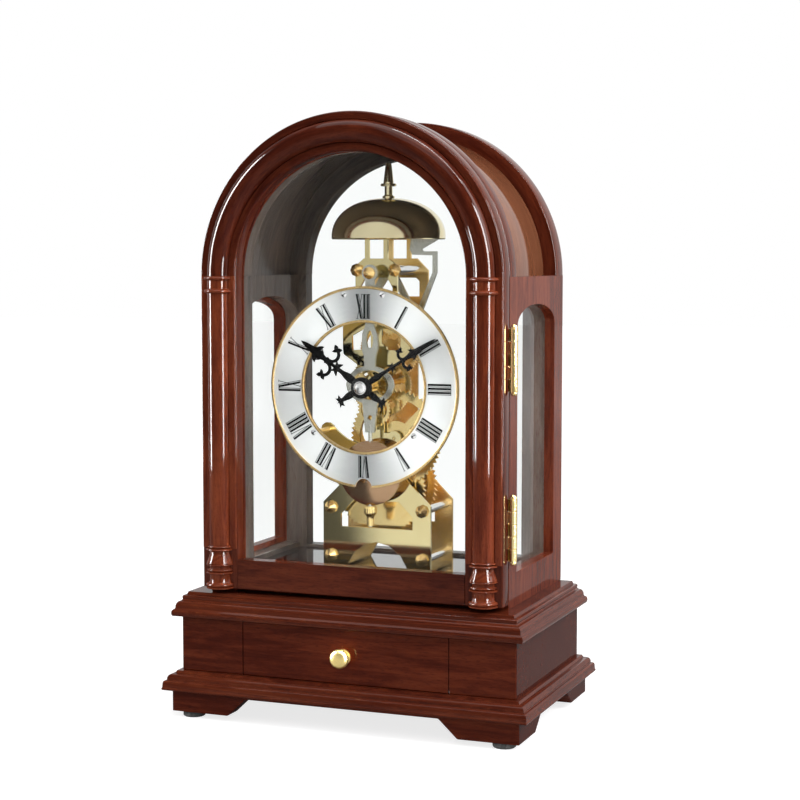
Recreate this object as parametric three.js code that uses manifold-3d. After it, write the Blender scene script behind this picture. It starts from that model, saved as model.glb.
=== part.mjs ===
// Arch-topped mahogany desk clock with a skeleton movement, a glazed front door and a drawer.
// Millimetres. X runs to the right, Y to the back, Z up; the origin is under the middle of the base.
import * as THREE from 'three';
import { mergeVertices } from 'three/addons/utils/BufferGeometryUtils.js';
import Module from 'manifold-3d';

const wasm = await Module();
wasm.setup();

// Clearances
const fit = 0.3;
const seam = 0.5;

// Base
const totalHeight = 360;
const baseWidth = 230;
const baseDepth = 145;
const padHeight = 3.4;
const padRadius = 6.8;
const padInset = 16.5;
const padInsetY = 11;
const padEdge = 0.6;
const footInset = 5.5;
const footInsetY = 3.5;
const footBoard = 12;
const footHeight = 12.6;
const apronDrop = 10.8;
const sideApronDrop = 9.2;
const frontFootLength = 37;
const sideFootLength = 32;
const footSlant = 11.5;
const lowerMoulding = 11.5;
const lowerSetback = 7;
const boxWidth = 211.4;
const boxSetback = 10;
const boxHeight = 32.5;
const deckThickness = 15;
const deckLipWidth = 221.6;
const deckOverhang = 4.7;
const deckTopWidth = 206;
const deckTopSetback = 0.5;

// Drawer
const drawerWidth = 130;
const drawerFrontThickness = 12;
const drawerBackRoom = 21;
const drawerTrayInset = 2;
const drawerTrayHeight = 27;
const drawerWall = 5;
const drawerFloor = 4;
const knobRadius = 5.8;
const knobReach = 9.5;

// Case
const caseWidth = 190;
const caseFront = -44.2;
const caseRear = 61.5;
const sidePanel = 17;
const frontFrameDepth = 12.2;
const rearFrameDepth = 14.4;
const frontOpening = 144;
const rearOpening = 145;
const frontSill = 17;
const rearSill = 15;
const vaultStep = 8.2;
const vaultThickness = 3;
const windowFront = -29.5;
const windowRear = 44;
const windowSill = 19.5;
const windowDrop = 28.2;
const windowRise = 11.8;
const windowReveal = 6.2;
const glassThickness = 2;
const glassLap = 3;
const floorThickness = 3;

// Door
const doorThickness = 10.3;
const doorLift = 3;
const doorOpening = 144;
const doorRail = 17.5;
const doorGlassLap = 4;
const columnOffset = 11.5;
const columnRadius = 6.5;
const columnProud = 6.2;
const capitalRadius = 8.6;
const columnBaseHeight = 26;
const columnQuirk = 0.4;
const mouldingMargin = 0.5;
const mouldingFlat = 1;
const mouldingEdge = 0.5;
const capitalHeight = 10.2;

// Door hinges
const hingeRadius = 2.3;
const hingePin = 0.95;
const hingeLength = 36;
const hingeKnuckles = 5;
const hingeLeaf = 1.25;
const hingeLeafWidth = 9;
const lowerHingeLift = 28;
const upperHingeDrop = 65;

// Movement frame, drawn for a case of this height over the deck
const drawnHeight = 285;
const plateThickness = 2;
const frontPlateY = -11;
const plateGap = 36.5;
const plateHalf = 35;
const plateShoulder = 49;
const lowerPillarX = 29.7;
const lowerPillarZ = 16.4;
const middlePillarZ = 46;
const upperPillarX = 12.2;
const upperPillarZ = 190.4;
const pillarRadius = 2.75;
const shankRadius = 2;
const nutRadius = 4;
const plateTop = 197.4;
const postHalf = 6;
const postWidth = 2.7;
const postTop = 218;
const plateNeck = 10;
const plateArchHalf = 22;
const plateArchHeight = 25.7;
const frontColumn = 5;
const backColumn = 12;
const yokeWidth = 8.5;
const lanternHalf = 21.8;
const lanternNeck = 13.5;
const crownHalf = 18.8;
const lugRadius = 4.6;
const centreLug = 9;
const bracketThickness = 3;
const bellSeat = 4.5;
const bellStem = 2;

// Dial and hands, with heights above the movement's floor
const dialHeight = 121;
const dialDiameter = 120;
const dialOpening = 77;
const dialY = -31.4;
const dialThickness = 1.2;
const outerRim = 2;
const innerRim = 1.5;
const rimProud = 0.8;
const notchWidth = 10.6;
const notchDepth = 0.4;
const footRadius = 1.6;
const upperFootX = 12.2;
const upperFootZ = 176;
const lowerFootX = 32;
const lowerFootZ = 93.3;
const handThickness = 1;
const handGap = 0.7;
const hourHandLength = 48;
const minuteHandLength = 55.8;
const handTail = 18;
const hubRadius = 6.3;
const scrollWidth = 1.7;
const hourHandTurn = 304.8;
const minuteHandTurn = 57.6;
const handNutRadius = 4.1;

// Going train
const barrelHeight = 58.5;
const barrelRadius = 22.8;
const barrelLength = 13.5;
const wheelThickness = 1.4;
const greatTeeth = 60;
const greatPinion = 10;
const greatModule = 0.94;
const secondTeeth = 60;
const secondPinion = 10;
const secondModule = 0.96;
const centreTeeth = 72;
const thirdPinion = 6;
const centreModule = 0.54;
const thirdTeeth = 72;
const escapePinion = 6;
const thirdModule = 0.52;
const escapeHeight = 162;
const escapeTeeth = 36;
const escapeRadius = 12;
const arborRadius = 1.2;
const pivotRadius = 0.8;
const barrelArborRadius = 4;
const barrelPivotRadius = 2.5;
const motionModule = 0.69;
const cannonTeeth = 10;
const minuteTeeth = 30;
const minutePinionTeeth = 8;
const hourTeeth = 32;
const centreArborRadius = 1.5;
const hourPipeRadius = 3;
const studRadius = 1.2;
const thinArbor = 0.9;
const wheelSpokes = 4;
const hubShare = 0.36;
const rimShare = 0.82;
const spokeShare = 0.15;
const escapeTooth = 2.2;
const ratchetTeeth = 20;
const ratchetRadius = 9;
const ratchetTooth = 1.8;
const squareHalf = 1.8;
const squareLength = 9;

// Striking
const strikeTeeth = 60;
const strikePinion = 10;
const strikeModule = 0.96;
const strikeLength = 9.5;
const pinTeeth = 60;
const pinModule = 0.5;
const pinArborX = -7;
const cockArm = 3;
const cockReach = 20;
const cockThickness = 1.5;
const hammerThickness = 1.8;
const hammerHub = 2.6;
const hammerHead = 18;
const hammerY = 8.5;
const hammerPivotX = 17.5;
const hammerPivotZ = 161.5;
const bellRadius = 35;
const bellRim = 209;
const bellHeight = 25;
const bellWall = 1.6;
const finialHeight = 21.4;
const finialRadius = 5;

// Steps between the layers of the movement, from front to back
const plateClear = 1.4;
const greatStep = 2.6;
const thirdStep = 6.6;
const escapeStep = 7;
const strikeStep = 4.6;
const pinStep = 0.6;
const cockStep = 8.5;
const motionStep = 3.8;
const hourStep = 1.6;
const handStep = 0.9;

// Pendulum
const pendulumY = -20.5;
const pendulumThickness = 2;
const pendulumPivotZ = 188.8;
const bobDrop = 119.8;
const bobRadius = 19.5;
const bobThickness = 9;
const bobEdge = 1.6;
const loopWidth = 30.6;
const loopHeight = 23;
const loopBand = 3.4;
const rodRadius = 1.2;
const rodHalf = 4.9;
const rodTuck = 12;
const lensRise = 16;
const ratingNutRadius = 3.8;
const ratingNutHeight = 12;

// Places that follow from the sizes above
const footBase = padHeight;
const boardBase = footBase + footHeight;
const boxBase = boardBase + lowerMoulding;
const deckBase = boxBase + boxHeight;
const deckTop = deckBase + deckThickness;
const caseHalf = caseWidth / 2;
const springZ = totalHeight - caseHalf;
const floorTop = deckTop + floorThickness;
const sideInner = caseHalf - sidePanel;
const doorBack = caseFront - seam;
const doorFront = doorBack - doorThickness;
const boxDepth = baseDepth - 2 * boxSetback;
const boxFront = -boxDepth / 2;
const drawerTrayDepth = boxDepth - drawerFrontThickness - drawerBackRoom;
const frontPlateBack = frontPlateY + plateThickness;
const backPlateY = frontPlateBack + plateGap;
const backPlateRear = backPlateY + plateThickness;
const bellY = (frontPlateY + backPlateRear) / 2;
const handZ = floorTop + dialHeight;
const barrelZ = floorTop + barrelHeight;
const escapeZ = floorTop + escapeHeight;
const pivotZ = floorTop + pendulumPivotZ;
const bobZ = pivotZ - bobDrop;
const bellRimZ = floorTop + bellRim;
const bellTopZ = bellRimZ + bellHeight;
const postTopZ = floorTop + postTop;
const plateTopZ = floorTop + plateTop;
const columnX = caseHalf - columnOffset;
const hingeX = caseHalf + hingeRadius + fit;
const hingeY = (caseFront + doorBack) / 2;
const lowerHingeZ = deckTop + lowerHingeLift;
const upperHingeZ = springZ - upperHingeDrop;
const movementScale = (totalHeight - deckTop) / drawnHeight;

// Looks
const look = (colour, roughness, metalness) =>
  new THREE.MeshStandardMaterial({ color: colour, roughness, metalness });
const mahogany = look(0x5a2114, 0.25, 0);
const darkMahogany = look(0x3c1a12, 0.3, 0);
const rubber = look(0x33302e, 0.9, 0);
const brass = look(0xd9b45a, 0.22, 1);
const darkBrass = look(0xb98a3c, 0.28, 1);
const steel = look(0xa9a89c, 0.3, 1);
const silver = look(0xc9cbca, 0.35, 1);
const blackLacquer = look(0x121212, 0.4, 0);
const blackMirror = look(0x15161a, 0.05, 0.2);
const clearGlass = new THREE.MeshStandardMaterial({
  color: 0xf2f7f6, roughness: 0.03, metalness: 0, transparent: true, opacity: 0.15,
});

// Geometry helpers: every body is welded, closed and turned faces out
function signedVolume(position, index) {
  const a = new THREE.Vector3();
  const b = new THREE.Vector3();
  const c = new THREE.Vector3();
  let volume = 0;
  for (let i = 0; i < index.length; i += 3) {
    a.fromBufferAttribute(position, index[i]);
    b.fromBufferAttribute(position, index[i + 1]);
    c.fromBufferAttribute(position, index[i + 2]);
    volume += a.dot(b.cross(c));
  }
  return volume;
}

function weld(geometry) {
  const bare = geometry.clone();
  bare.deleteAttribute('normal');
  bare.deleteAttribute('uv');
  const merged = mergeVertices(bare, 1e-4);
  const source = merged.getIndex().array;
  let index = [];
  for (let i = 0; i < source.length; i += 3) {
    const [a, b, c] = [source[i], source[i + 1], source[i + 2]];
    if (a !== b && b !== c && c !== a) index.push(a, b, c);
  }
  if (signedVolume(merged.getAttribute('position'), index) < 0) index = index.reverse();
  merged.setIndex(index);
  return merged;
}

function toSolid(geometry) {
  const body = weld(geometry);
  return new wasm.Manifold(new wasm.Mesh({
    numProp: 3,
    vertProperties: new Float32Array(body.getAttribute('position').array),
    triVerts: new Uint32Array(body.getIndex().array),
  }));
}

function toGeometry(solid) {
  const mesh = solid.getMesh();
  const geometry = new THREE.BufferGeometry();
  geometry.setAttribute('position', new THREE.BufferAttribute(new Float32Array(mesh.vertProperties), 3));
  geometry.setIndex(new THREE.BufferAttribute(new Uint32Array(mesh.triVerts), 1));
  return geometry;
}

const join = (...geometries) => toGeometry(geometries.map(toSolid).reduce((a, b) => a.add(b)));
const cut = (geometry, ...tools) => toGeometry(
  tools.map(toSolid).reduce((a, b) => a.subtract(b), toSolid(geometry)));
const overlap = (geometry, tool) => toGeometry(toSolid(geometry).intersect(toSolid(tool)));

function block(x0, x1, y0, y1, z0, z1) {
  return new THREE.BoxGeometry(x1 - x0, y1 - y0, z1 - z0)
    .translate((x0 + x1) / 2, (y0 + y1) / 2, (z0 + z1) / 2);
}

// A shape drawn in X and Z, pushed along Y from y0 to y1
function sheet(shape, y0, y1, curveSegments = 10) {
  return new THREE.ExtrudeGeometry(shape, { depth: y1 - y0, bevelEnabled: false, curveSegments })
    .rotateX(Math.PI / 2).translate(0, y1, 0);
}

// A shape drawn in X and Y, pushed along Z from z0 to z1
function upright(shape, z0, z1, curveSegments = 10) {
  return new THREE.ExtrudeGeometry(shape, { depth: z1 - z0, bevelEnabled: false, curveSegments })
    .translate(0, 0, z0);
}

// A shape drawn in Y and Z, pushed along X from x0 to x1
function across(shape, x0, x1, curveSegments = 10) {
  const turn = new THREE.Matrix4().makeBasis(
    new THREE.Vector3(0, 1, 0), new THREE.Vector3(0, 0, 1), new THREE.Vector3(1, 0, 0));
  return new THREE.ExtrudeGeometry(shape, { depth: x1 - x0, bevelEnabled: false, curveSegments })
    .applyMatrix4(turn).translate(x0, 0, 0);
}

const polygon = (points) => new THREE.Shape(points.map(([x, y]) => new THREE.Vector2(x, y)));
const mirrored = (points) => polygon([...points, ...points.map(([x, y]) => [-x, y]).reverse()]);

function disc(x, z, radius) {
  const shape = new THREE.Shape();
  shape.absarc(x, z, radius, 0, 2 * Math.PI);
  return shape;
}

// A profile of radius and height, turned about Y
function turned(profile, segments = 20) {
  return weld(new THREE.LatheGeometry(profile.map(([r, h]) => new THREE.Vector2(r, h)), segments));
}

// The same about Z
const turnedUp = (profile, segments = 20) => turned(profile, segments).rotateX(Math.PI / 2);

// A rectangular moulding: each level has its half width, half depth and height
function mouldedBoard(levels) {
  const points = [];
  const index = [];
  for (const [x, y, z] of levels) points.push(-x, -y, z, x, -y, z, x, y, z, -x, y, z);
  for (let level = 0; level + 1 < levels.length; level += 1) {
    for (let side = 0; side < 4; side += 1) {
      const a = 4 * level + side;
      const b = 4 * level + (side + 1) % 4;
      index.push(a, b, b + 4, a, b + 4, a + 4);
    }
  }
  const top = 4 * (levels.length - 1);
  index.push(0, 2, 1, 0, 3, 2, top, top + 1, top + 2, top, top + 2, top + 3);
  const geometry = new THREE.BufferGeometry();
  geometry.setAttribute('position', new THREE.Float32BufferAttribute(points, 3));
  geometry.setIndex(index);
  return geometry;
}

// A profile of radius and Y swept over the upper half circle about the spring line
function archSweep(outline, steps) {
  const clockwise = THREE.ShapeUtils.area(outline.map(([r, y]) => new THREE.Vector2(r, y))) < 0;
  const profile = clockwise ? [...outline].reverse() : outline;
  const count = profile.length;
  const points = [];
  const index = [];
  for (let step = 0; step <= steps; step += 1) {
    const angle = Math.PI * step / steps;
    for (const [r, y] of profile) points.push(r * Math.cos(angle), y, springZ + r * Math.sin(angle));
  }
  for (let step = 0; step < steps; step += 1) {
    for (let i = 0; i < count; i += 1) {
      const a = step * count + i;
      const b = step * count + (i + 1) % count;
      index.push(a, b, b + count, a, b + count, a + count);
    }
  }
  const caps = THREE.ShapeUtils.triangulateShape(profile.map(([r, y]) => new THREE.Vector2(r, y)), []);
  const end = steps * count;
  for (const [a, b, c] of caps) index.push(c, b, a, end + a, end + b, end + c);
  const geometry = new THREE.BufferGeometry();
  geometry.setAttribute('position', new THREE.Float32BufferAttribute(points, 3));
  geometry.setIndex(index);
  return weld(geometry);
}

// An opening or outline with straight sides and a half-round top on the spring line
function archShape(half, bottom) {
  const shape = new THREE.Shape();
  shape.moveTo(-half, bottom);
  shape.lineTo(half, bottom);
  shape.lineTo(half, springZ);
  shape.absarc(0, springZ, half, 0, Math.PI);
  shape.lineTo(-half, bottom);
  return shape;
}

function piece(group, name, geometry, material, place = [0, 0, 0]) {
  const body = weld(geometry);
  body.computeVertexNormals();
  const mesh = new THREE.Mesh(body, material.clone());
  mesh.name = name;
  mesh.position.set(...place);
  group.add(mesh);
  return mesh;
}

const clock = new THREE.Group();
const base = new THREE.Group();
const drawer = new THREE.Group();
const shell = new THREE.Group();
const door = new THREE.Group();
const movement = new THREE.Group();
clock.add(base, drawer, shell, door, movement);
movement.scale.set(movementScale, 1, movementScale);
movement.position.z = floorTop * (1 - movementScale);

// Base: rubber pads, bracket feet, two moulded boards and the box between them
function buildBase() {
  const padProfile = [
    [0, 0], [padRadius - padEdge, 0], [padRadius, padEdge], [padRadius, padHeight], [0, padHeight]];
  const padX = baseWidth / 2 - padInset;
  const padY = baseDepth / 2 - padInsetY;
  for (const [side, x] of [['left', -padX], ['right', padX]]) {
    for (const [end, y] of [['front', -padY], ['rear', padY]]) {
      piece(base, `foot_pad_${end}_${side}`, turnedUp(padProfile, 14), rubber, [x, y, 0]);
    }
  }

  const footX = baseWidth / 2 - footInset;
  const footY = baseDepth / 2 - footInsetY;
  const ring = cut(
    block(-footX, footX, -footY, footY, footBase, boardBase),
    block(-footX + footBoard, footX - footBoard, -footY + footBoard, footY - footBoard,
      footBase - 1, boardBase + 1));
  const frontSpan = footX - frontFootLength;
  const frontCut = polygon([
    [-frontSpan, footBase - 1], [frontSpan, footBase - 1], [frontSpan, footBase],
    [frontSpan - footSlant, footBase + apronDrop], [footSlant - frontSpan, footBase + apronDrop],
    [-frontSpan, footBase]]);
  const sideSpan = footY - sideFootLength;
  const sideCut = polygon([
    [-sideSpan, footBase - 1], [sideSpan, footBase - 1], [sideSpan, footBase],
    [sideSpan - footSlant, footBase + sideApronDrop], [footSlant - sideSpan, footBase + sideApronDrop],
    [-sideSpan, footBase]]);
  piece(base, 'bracket_foot_frame', cut(
    ring, sheet(frontCut, -footY - 1, footY + 1), across(sideCut, -footX - 1, footX + 1)), mahogany);

  // Lower moulding: share of the height, share of the setback
  const lowerSteps = [
    [0, 0.16], [0.08, 0.02], [0.14, 0], [0.36, 0], [0.44, 0.06], [0.5, 0.2], [0.52, 0.3],
    [0.66, 0.36], [0.78, 0.5], [0.86, 0.74], [0.88, 0.92], [1, 1]];
  piece(base, 'base_board', mouldedBoard(lowerSteps.map(([h, s]) => [
    baseWidth / 2 - s * lowerSetback, baseDepth / 2 - s * lowerSetback,
    boardBase + h * lowerMoulding])), mahogany);

  const hollow = drawerWidth / 2 + fit;
  const hollowBack = boxFront + drawerFrontThickness + drawerTrayDepth + 1;
  piece(base, 'base_carcase', cut(
    block(-boxWidth / 2, boxWidth / 2, boxFront, boxDepth / 2, boxBase, deckBase),
    block(-hollow, hollow, boxFront - 1, hollowBack, boxBase - 1, deckBase + 1)), mahogany);

  // Upper moulding: share of the thickness, share of the way in from the lip to the top
  const deckSteps = [
    [0, 0.55], [0.05, 0.16], [0.1, 0.03], [0.2, 0], [0.3, 0.03], [0.36, 0.16], [0.4, 0.24],
    [0.52, 0.3], [0.62, 0.44], [0.68, 0.6], [0.7, 0.66], [0.8, 0.64], [0.85, 0.72], [0.88, 0.9], [1, 1]];
  const lipX = deckLipWidth / 2;
  const lipY = boxDepth / 2 + deckOverhang;
  const topY = boxDepth / 2 - deckTopSetback;
  piece(base, 'deck_board', mouldedBoard(deckSteps.map(([h, s]) => [
    lipX - s * (lipX - deckTopWidth / 2), lipY - s * (lipY - topY), deckBase + h * deckThickness])),
  mahogany);
}

// Drawer: flush front, open tray behind it and a turned brass knob
function buildDrawer() {
  const half = drawerWidth / 2;
  const bottom = boxBase + fit;
  const top = deckBase - fit;
  const frontBack = boxFront + drawerFrontThickness;
  piece(drawer, 'drawer_front', block(-half, half, boxFront, frontBack, bottom, top), mahogany);
  const trayHalf = half - drawerTrayInset;
  const trayBack = frontBack + drawerTrayDepth;
  piece(drawer, 'drawer_tray', cut(
    block(-trayHalf, trayHalf, frontBack, trayBack, bottom, bottom + drawerTrayHeight),
    block(-trayHalf + drawerWall, trayHalf - drawerWall, frontBack + drawerWall, trayBack - drawerWall,
      bottom + drawerFloor, bottom + drawerTrayHeight + 1)), darkMahogany);
  // Knob: shares of its radius and of its reach
  const knobSteps = [
    [0, 1], [0.45, 0.96], [0.85, 0.83], [1, 0.64], [0.86, 0.5],
    [0.5, 0.39], [0.5, 0.17], [0.8, 0.1], [0.8, 0], [0, 0]];
  piece(drawer, 'drawer_knob', turned(knobSteps.map(([r, h]) => [r * knobRadius, -h * knobReach]), 18), brass,
    [0, boxFront, (bottom + top) / 2]);
}

// Case: side panels with arched windows, arch frames front and rear, a set-back vault and the glass
function buildShell() {
  const hingeCut = (z0) => block(
    caseHalf - hingeLeafWidth - fit, caseHalf + 1, caseFront - 1, caseFront + hingeLeaf + fit,
    z0 - fit, z0 + hingeLength + fit);
  const windowShape = (grow) => {
    const shape = new THREE.Shape();
    const middle = (windowFront + windowRear) / 2;
    const half = (windowRear - windowFront) / 2 + grow;
    shape.moveTo(middle - half, deckTop + windowSill - grow);
    shape.lineTo(middle + half, deckTop + windowSill - grow);
    shape.lineTo(middle + half, springZ - windowDrop);
    shape.absellipse(middle, springZ - windowDrop, half, windowRise + grow, 0, Math.PI);
    shape.lineTo(middle - half, deckTop + windowSill - grow);
    return shape;
  };
  const rebate = caseHalf - windowReveal;
  const pane = rebate - fit;
  for (const [side, sign] of [['left', -1], ['right', 1]]) {
    const [x0, x1] = sign < 0 ? [-caseHalf, -sideInner] : [sideInner, caseHalf];
    const [r0, r1] = sign < 0 ? [-rebate, 1 - sideInner] : [sideInner - 1, rebate];
    const [g0, g1] = sign < 0 ? [-pane, glassThickness - pane] : [pane - glassThickness, pane];
    const tools = [
      across(windowShape(0), x0 - 1, x1 + 1), across(windowShape(glassLap + fit), r0, r1)];
    if (sign > 0) tools.push(hingeCut(lowerHingeZ), hingeCut(upperHingeZ));
    piece(shell, `${side}_side_panel`, cut(
      block(x0, x1, caseFront, caseRear, deckTop, springZ), ...tools), mahogany);
    piece(shell, `${side}_side_glass`, across(windowShape(glassLap), g0, g1), clearGlass);
  }

  const frameShape = (opening, sill) => {
    const shape = new THREE.Shape();
    shape.moveTo(-sideInner, deckTop);
    shape.lineTo(sideInner, deckTop);
    shape.lineTo(sideInner, springZ);
    shape.lineTo(caseHalf, springZ);
    shape.absarc(0, springZ, caseHalf, 0, Math.PI);
    shape.lineTo(-sideInner, springZ);
    shape.lineTo(-sideInner, deckTop);
    shape.holes.push(archShape(opening / 2, deckTop + sill));
    return shape;
  };
  const frameBack = caseFront + frontFrameDepth;
  const rearFront = caseRear - rearFrameDepth;
  piece(shell, 'front_arch_frame',
    sheet(frameShape(frontOpening, frontSill), caseFront, frameBack, 24), mahogany);
  const paneFront = caseRear - 2 * glassThickness;
  piece(shell, 'rear_arch_frame', cut(
    sheet(frameShape(rearOpening, rearSill), rearFront, caseRear, 24),
    sheet(archShape(rearOpening / 2 + glassLap + fit, deckTop + rearSill - glassLap - fit),
      paneFront - fit, caseRear + 1, 16)), mahogany);
  piece(shell, 'rear_glass', sheet(
    archShape(rearOpening / 2 + glassLap, deckTop + rearSill - glassLap),
    paneFront, paneFront + glassThickness, 16), clearGlass);

  const vaultOuter = caseHalf - vaultStep;
  const vaultInner = vaultOuter - vaultThickness;
  piece(shell, 'vault_panel', archSweep([
    [vaultOuter, frameBack], [vaultOuter, rearFront], [vaultInner, rearFront], [vaultInner, frameBack]], 24),
  darkMahogany);
  piece(shell, 'floor_plate', block(
    fit - sideInner, sideInner - fit, frameBack + fit, rearFront - fit, deckTop, floorTop), blackMirror);
}

// Door: arched slab with a rail, an arch moulding on two turned columns, and its pane
function mouldingProfile() {
  const y = (proud) => doorFront - proud;
  const outer = caseHalf - mouldingMargin;
  const inner = doorOpening / 2 + mouldingMargin;
  const steps = 9;
  const round = Array.from({ length: steps + 1 }, (_, i) => {
    const angle = Math.PI * i / steps;
    const rise = columnQuirk + (columnProud - columnQuirk) * Math.sin(angle);
    return [columnX + columnRadius * Math.cos(angle), y(rise)];
  });
  return [
    [outer, y(0)], [outer, y(mouldingFlat - mouldingEdge)], [outer - mouldingEdge, y(mouldingFlat)],
    [columnX + columnRadius + columnQuirk, y(mouldingFlat)], ...round,
    [columnX - columnRadius - columnQuirk, y(mouldingFlat)], [inner + mouldingEdge, y(mouldingFlat)],
    [inner, y(mouldingFlat - mouldingEdge)], [inner, y(0)]];
}

function buildDoor() {
  const bottom = deckTop + doorLift;
  const slabShape = archShape(caseHalf, bottom);
  slabShape.holes.push(archShape(doorOpening / 2, bottom + doorRail));
  const rebate = glassThickness + 2 * fit;
  const hingeCut = (z0) => block(
    caseHalf - hingeLeafWidth - fit, caseHalf + 1, doorBack - hingeLeaf - fit, doorBack + 1,
    z0 - fit, z0 + hingeLength + fit);
  piece(door, 'door_frame', cut(
    sheet(slabShape, doorFront, doorBack, 24),
    sheet(archShape(doorOpening / 2 + doorGlassLap + fit, bottom + doorRail - doorGlassLap - fit),
      doorBack - rebate, doorBack + 1, 16),
    hingeCut(lowerHingeZ), hingeCut(upperHingeZ)), mahogany);
  piece(door, 'door_glass', sheet(
    archShape(doorOpening / 2 + doorGlassLap, bottom + doorRail - doorGlassLap),
    doorBack - fit - glassThickness, doorBack - fit, 16), clearGlass);

  const profile = mouldingProfile();
  piece(door, 'door_arch_moulding', archSweep(profile, 28), mahogany);

  const shaft = upright(polygon(profile), bottom + columnBaseHeight - 2, springZ);
  const r = capitalRadius;
  const ring = (middle, height, radius) => [
    [radius - 1.2, middle - height / 2], [radius, middle - height / 4], [radius, middle + height / 4],
    [radius - 1.2, middle + height / 2]];
  const b = bottom;
  const h = columnBaseHeight;
  const baseProfile = [
    [0, b], ...ring(b + 0.07 * h, 0.14 * h, r), [columnRadius, b + 0.17 * h], [columnRadius, b + 0.32 * h],
    ...ring(b + 0.36 * h, 0.07 * h, r), ...ring(b + 0.42 * h, 0.05 * h, r - 0.8), [columnRadius, b + 0.46 * h],
    [columnRadius, b + 0.52 * h], ...ring(b + 0.55 * h, 0.06 * h, r), [r - 1.7, b + 0.66 * h],
    [columnRadius, b + 0.77 * h],
    [columnRadius - 0.4, b + 0.79 * h], [columnRadius - 0.4, b + 0.86 * h], ...ring(b + 0.9 * h, 0.07 * h, r),
    ...ring(b + 0.965 * h, 0.05 * h, r - 0.8), [0, b + h]];
  const c = springZ;
  const k = capitalHeight;
  const capitalProfile = [
    [0, c - k], ...ring(c - 0.88 * k, 0.24 * k, r), [columnRadius + 0.2, c - 0.74 * k],
    [columnRadius + 0.2, c - 0.26 * k], ...ring(c - 0.12 * k, 0.24 * k, r), [0, c]];
  const half = overlap(
    join(turnedUp(baseProfile, 12), turnedUp(capitalProfile, 12)).translate(columnX, doorFront, 0),
    block(columnX - 2 * r, columnX + 2 * r, doorFront - 2 * r, doorFront, bottom, springZ));
  const column = join(shaft, half);
  piece(door, 'door_right_column', column, mahogany);
  piece(door, 'door_left_column', column.clone().scale(-1, 1, 1), mahogany);
}

// Butt hinges: the case leaf has the odd knuckles and the pin, the door leaf the even ones
function buildHinge(name, z0) {
  const pitch = hingeLength / hingeKnuckles;
  const knuckle = (i) => turnedUp([
    [0, z0 + i * pitch + fit / 2], [hingeRadius, z0 + i * pitch + fit / 2],
    [hingeRadius, z0 + (i + 1) * pitch - fit / 2], [0, z0 + (i + 1) * pitch - fit / 2]], 12)
    .translate(hingeX, hingeY, 0);
  const leaf = (y0, y1, list) => join(
    block(caseHalf - hingeLeafWidth, caseHalf, y0, y1, z0, z0 + hingeLength),
    ...list.flatMap((i) => [knuckle(i), block(
      caseHalf - 1, hingeX, y0, y1, z0 + i * pitch + fit / 2, z0 + (i + 1) * pitch - fit / 2)]));
  const all = Array.from({ length: hingeKnuckles }, (_, i) => i);
  const even = all.filter((i) => i % 2 === 0);
  const odd = all.filter((i) => i % 2 === 1);
  const rod = (radius, over) => turnedUp([
    [0, z0 - over], [radius, z0 - over], [radius, z0 + hingeLength + over], [0, z0 + hingeLength + over]], 8)
    .translate(hingeX, hingeY, 0);
  const tip = new THREE.SphereGeometry(0.85 * hingeRadius, 8, 5);
  piece(shell, `${name}_hinge_case_leaf`, join(
    leaf(caseFront, caseFront + hingeLeaf, even), rod(hingePin, 0.5),
    tip.clone().translate(hingeX, hingeY, z0 - 0.6),
    tip.clone().translate(hingeX, hingeY, z0 + hingeLength + 0.6)),
  brass);
  piece(door, `${name}_hinge_door_leaf`, cut(
    leaf(doorBack - hingeLeaf, doorBack, odd), rod(hingePin + fit, 1)), brass);
}

// Toothed outlines. A tooth's half width at root and tip is a share of the tooth pitch:
// wheel teeth are pointed and meet at the root, pinion leaves are narrow with a flat tip
const leafRoot = 0.17;
const leafTip = 0.06;

function toothedShape(teeth, module, turn, rootShare = 0.5, tipShare = 0) {
  const pitch = 2 * Math.PI / teeth;
  const pitchRadius = module * teeth / 2;
  const root = pitchRadius - 1.15 * module;
  const tip = pitchRadius + 0.8 * module;
  const points = [];
  for (let i = 0; i < teeth; i += 1) {
    const middle = turn + i * pitch;
    const left = [[root, -rootShare], [tip, -tipShare]];
    const right = [[tip, tipShare], [root, rootShare]].slice(tipShare > 0 ? 0 : 1, rootShare < 0.5 ? 2 : 1);
    for (const [r, share] of [...left, ...right]) {
      points.push([r * Math.cos(middle + share * pitch), r * Math.sin(middle + share * pitch)]);
    }
  }
  return polygon(points);
}

// Saw teeth: a steep face at each tip and a long slope to the next
function sawShape(teeth, radius, depth) {
  const points = [];
  for (let i = 0; i < teeth; i += 1) {
    const tip = 2 * Math.PI * i / teeth;
    const root = tip + 0.25 * depth / radius;
    points.push([radius * Math.cos(tip), radius * Math.sin(tip)]);
    points.push([(radius - depth) * Math.cos(root), (radius - depth) * Math.sin(root)]);
  }
  return polygon(points);
}

// Crossings: windows between the hub and the rim of a wheel, with straight spokes between them
function crossings(shape, radius) {
  const inner = hubShare * radius;
  const outer = rimShare * radius;
  const near = Math.asin(0.5 * spokeShare / hubShare);
  const far = Math.asin(0.5 * spokeShare / rimShare);
  for (let i = 0; i < wheelSpokes; i += 1) {
    const from = 2 * Math.PI * (i + 0.5) / wheelSpokes;
    const to = 2 * Math.PI * (i + 1.5) / wheelSpokes;
    const hole = new THREE.Path();
    hole.moveTo(inner * Math.cos(from + near), inner * Math.sin(from + near));
    hole.lineTo(outer * Math.cos(from + far), outer * Math.sin(from + far));
    hole.absarc(0, 0, outer, from + far, to - far, false);
    hole.lineTo(inner * Math.cos(to - near), inner * Math.sin(to - near));
    hole.absarc(0, 0, inner, to - near, from + near, true);
    shape.holes.push(hole);
  }
  return shape;
}

const crossedWheel = (teeth, module, turn) => crossings(toothedShape(teeth, module, turn), module * teeth / 2);

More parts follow.
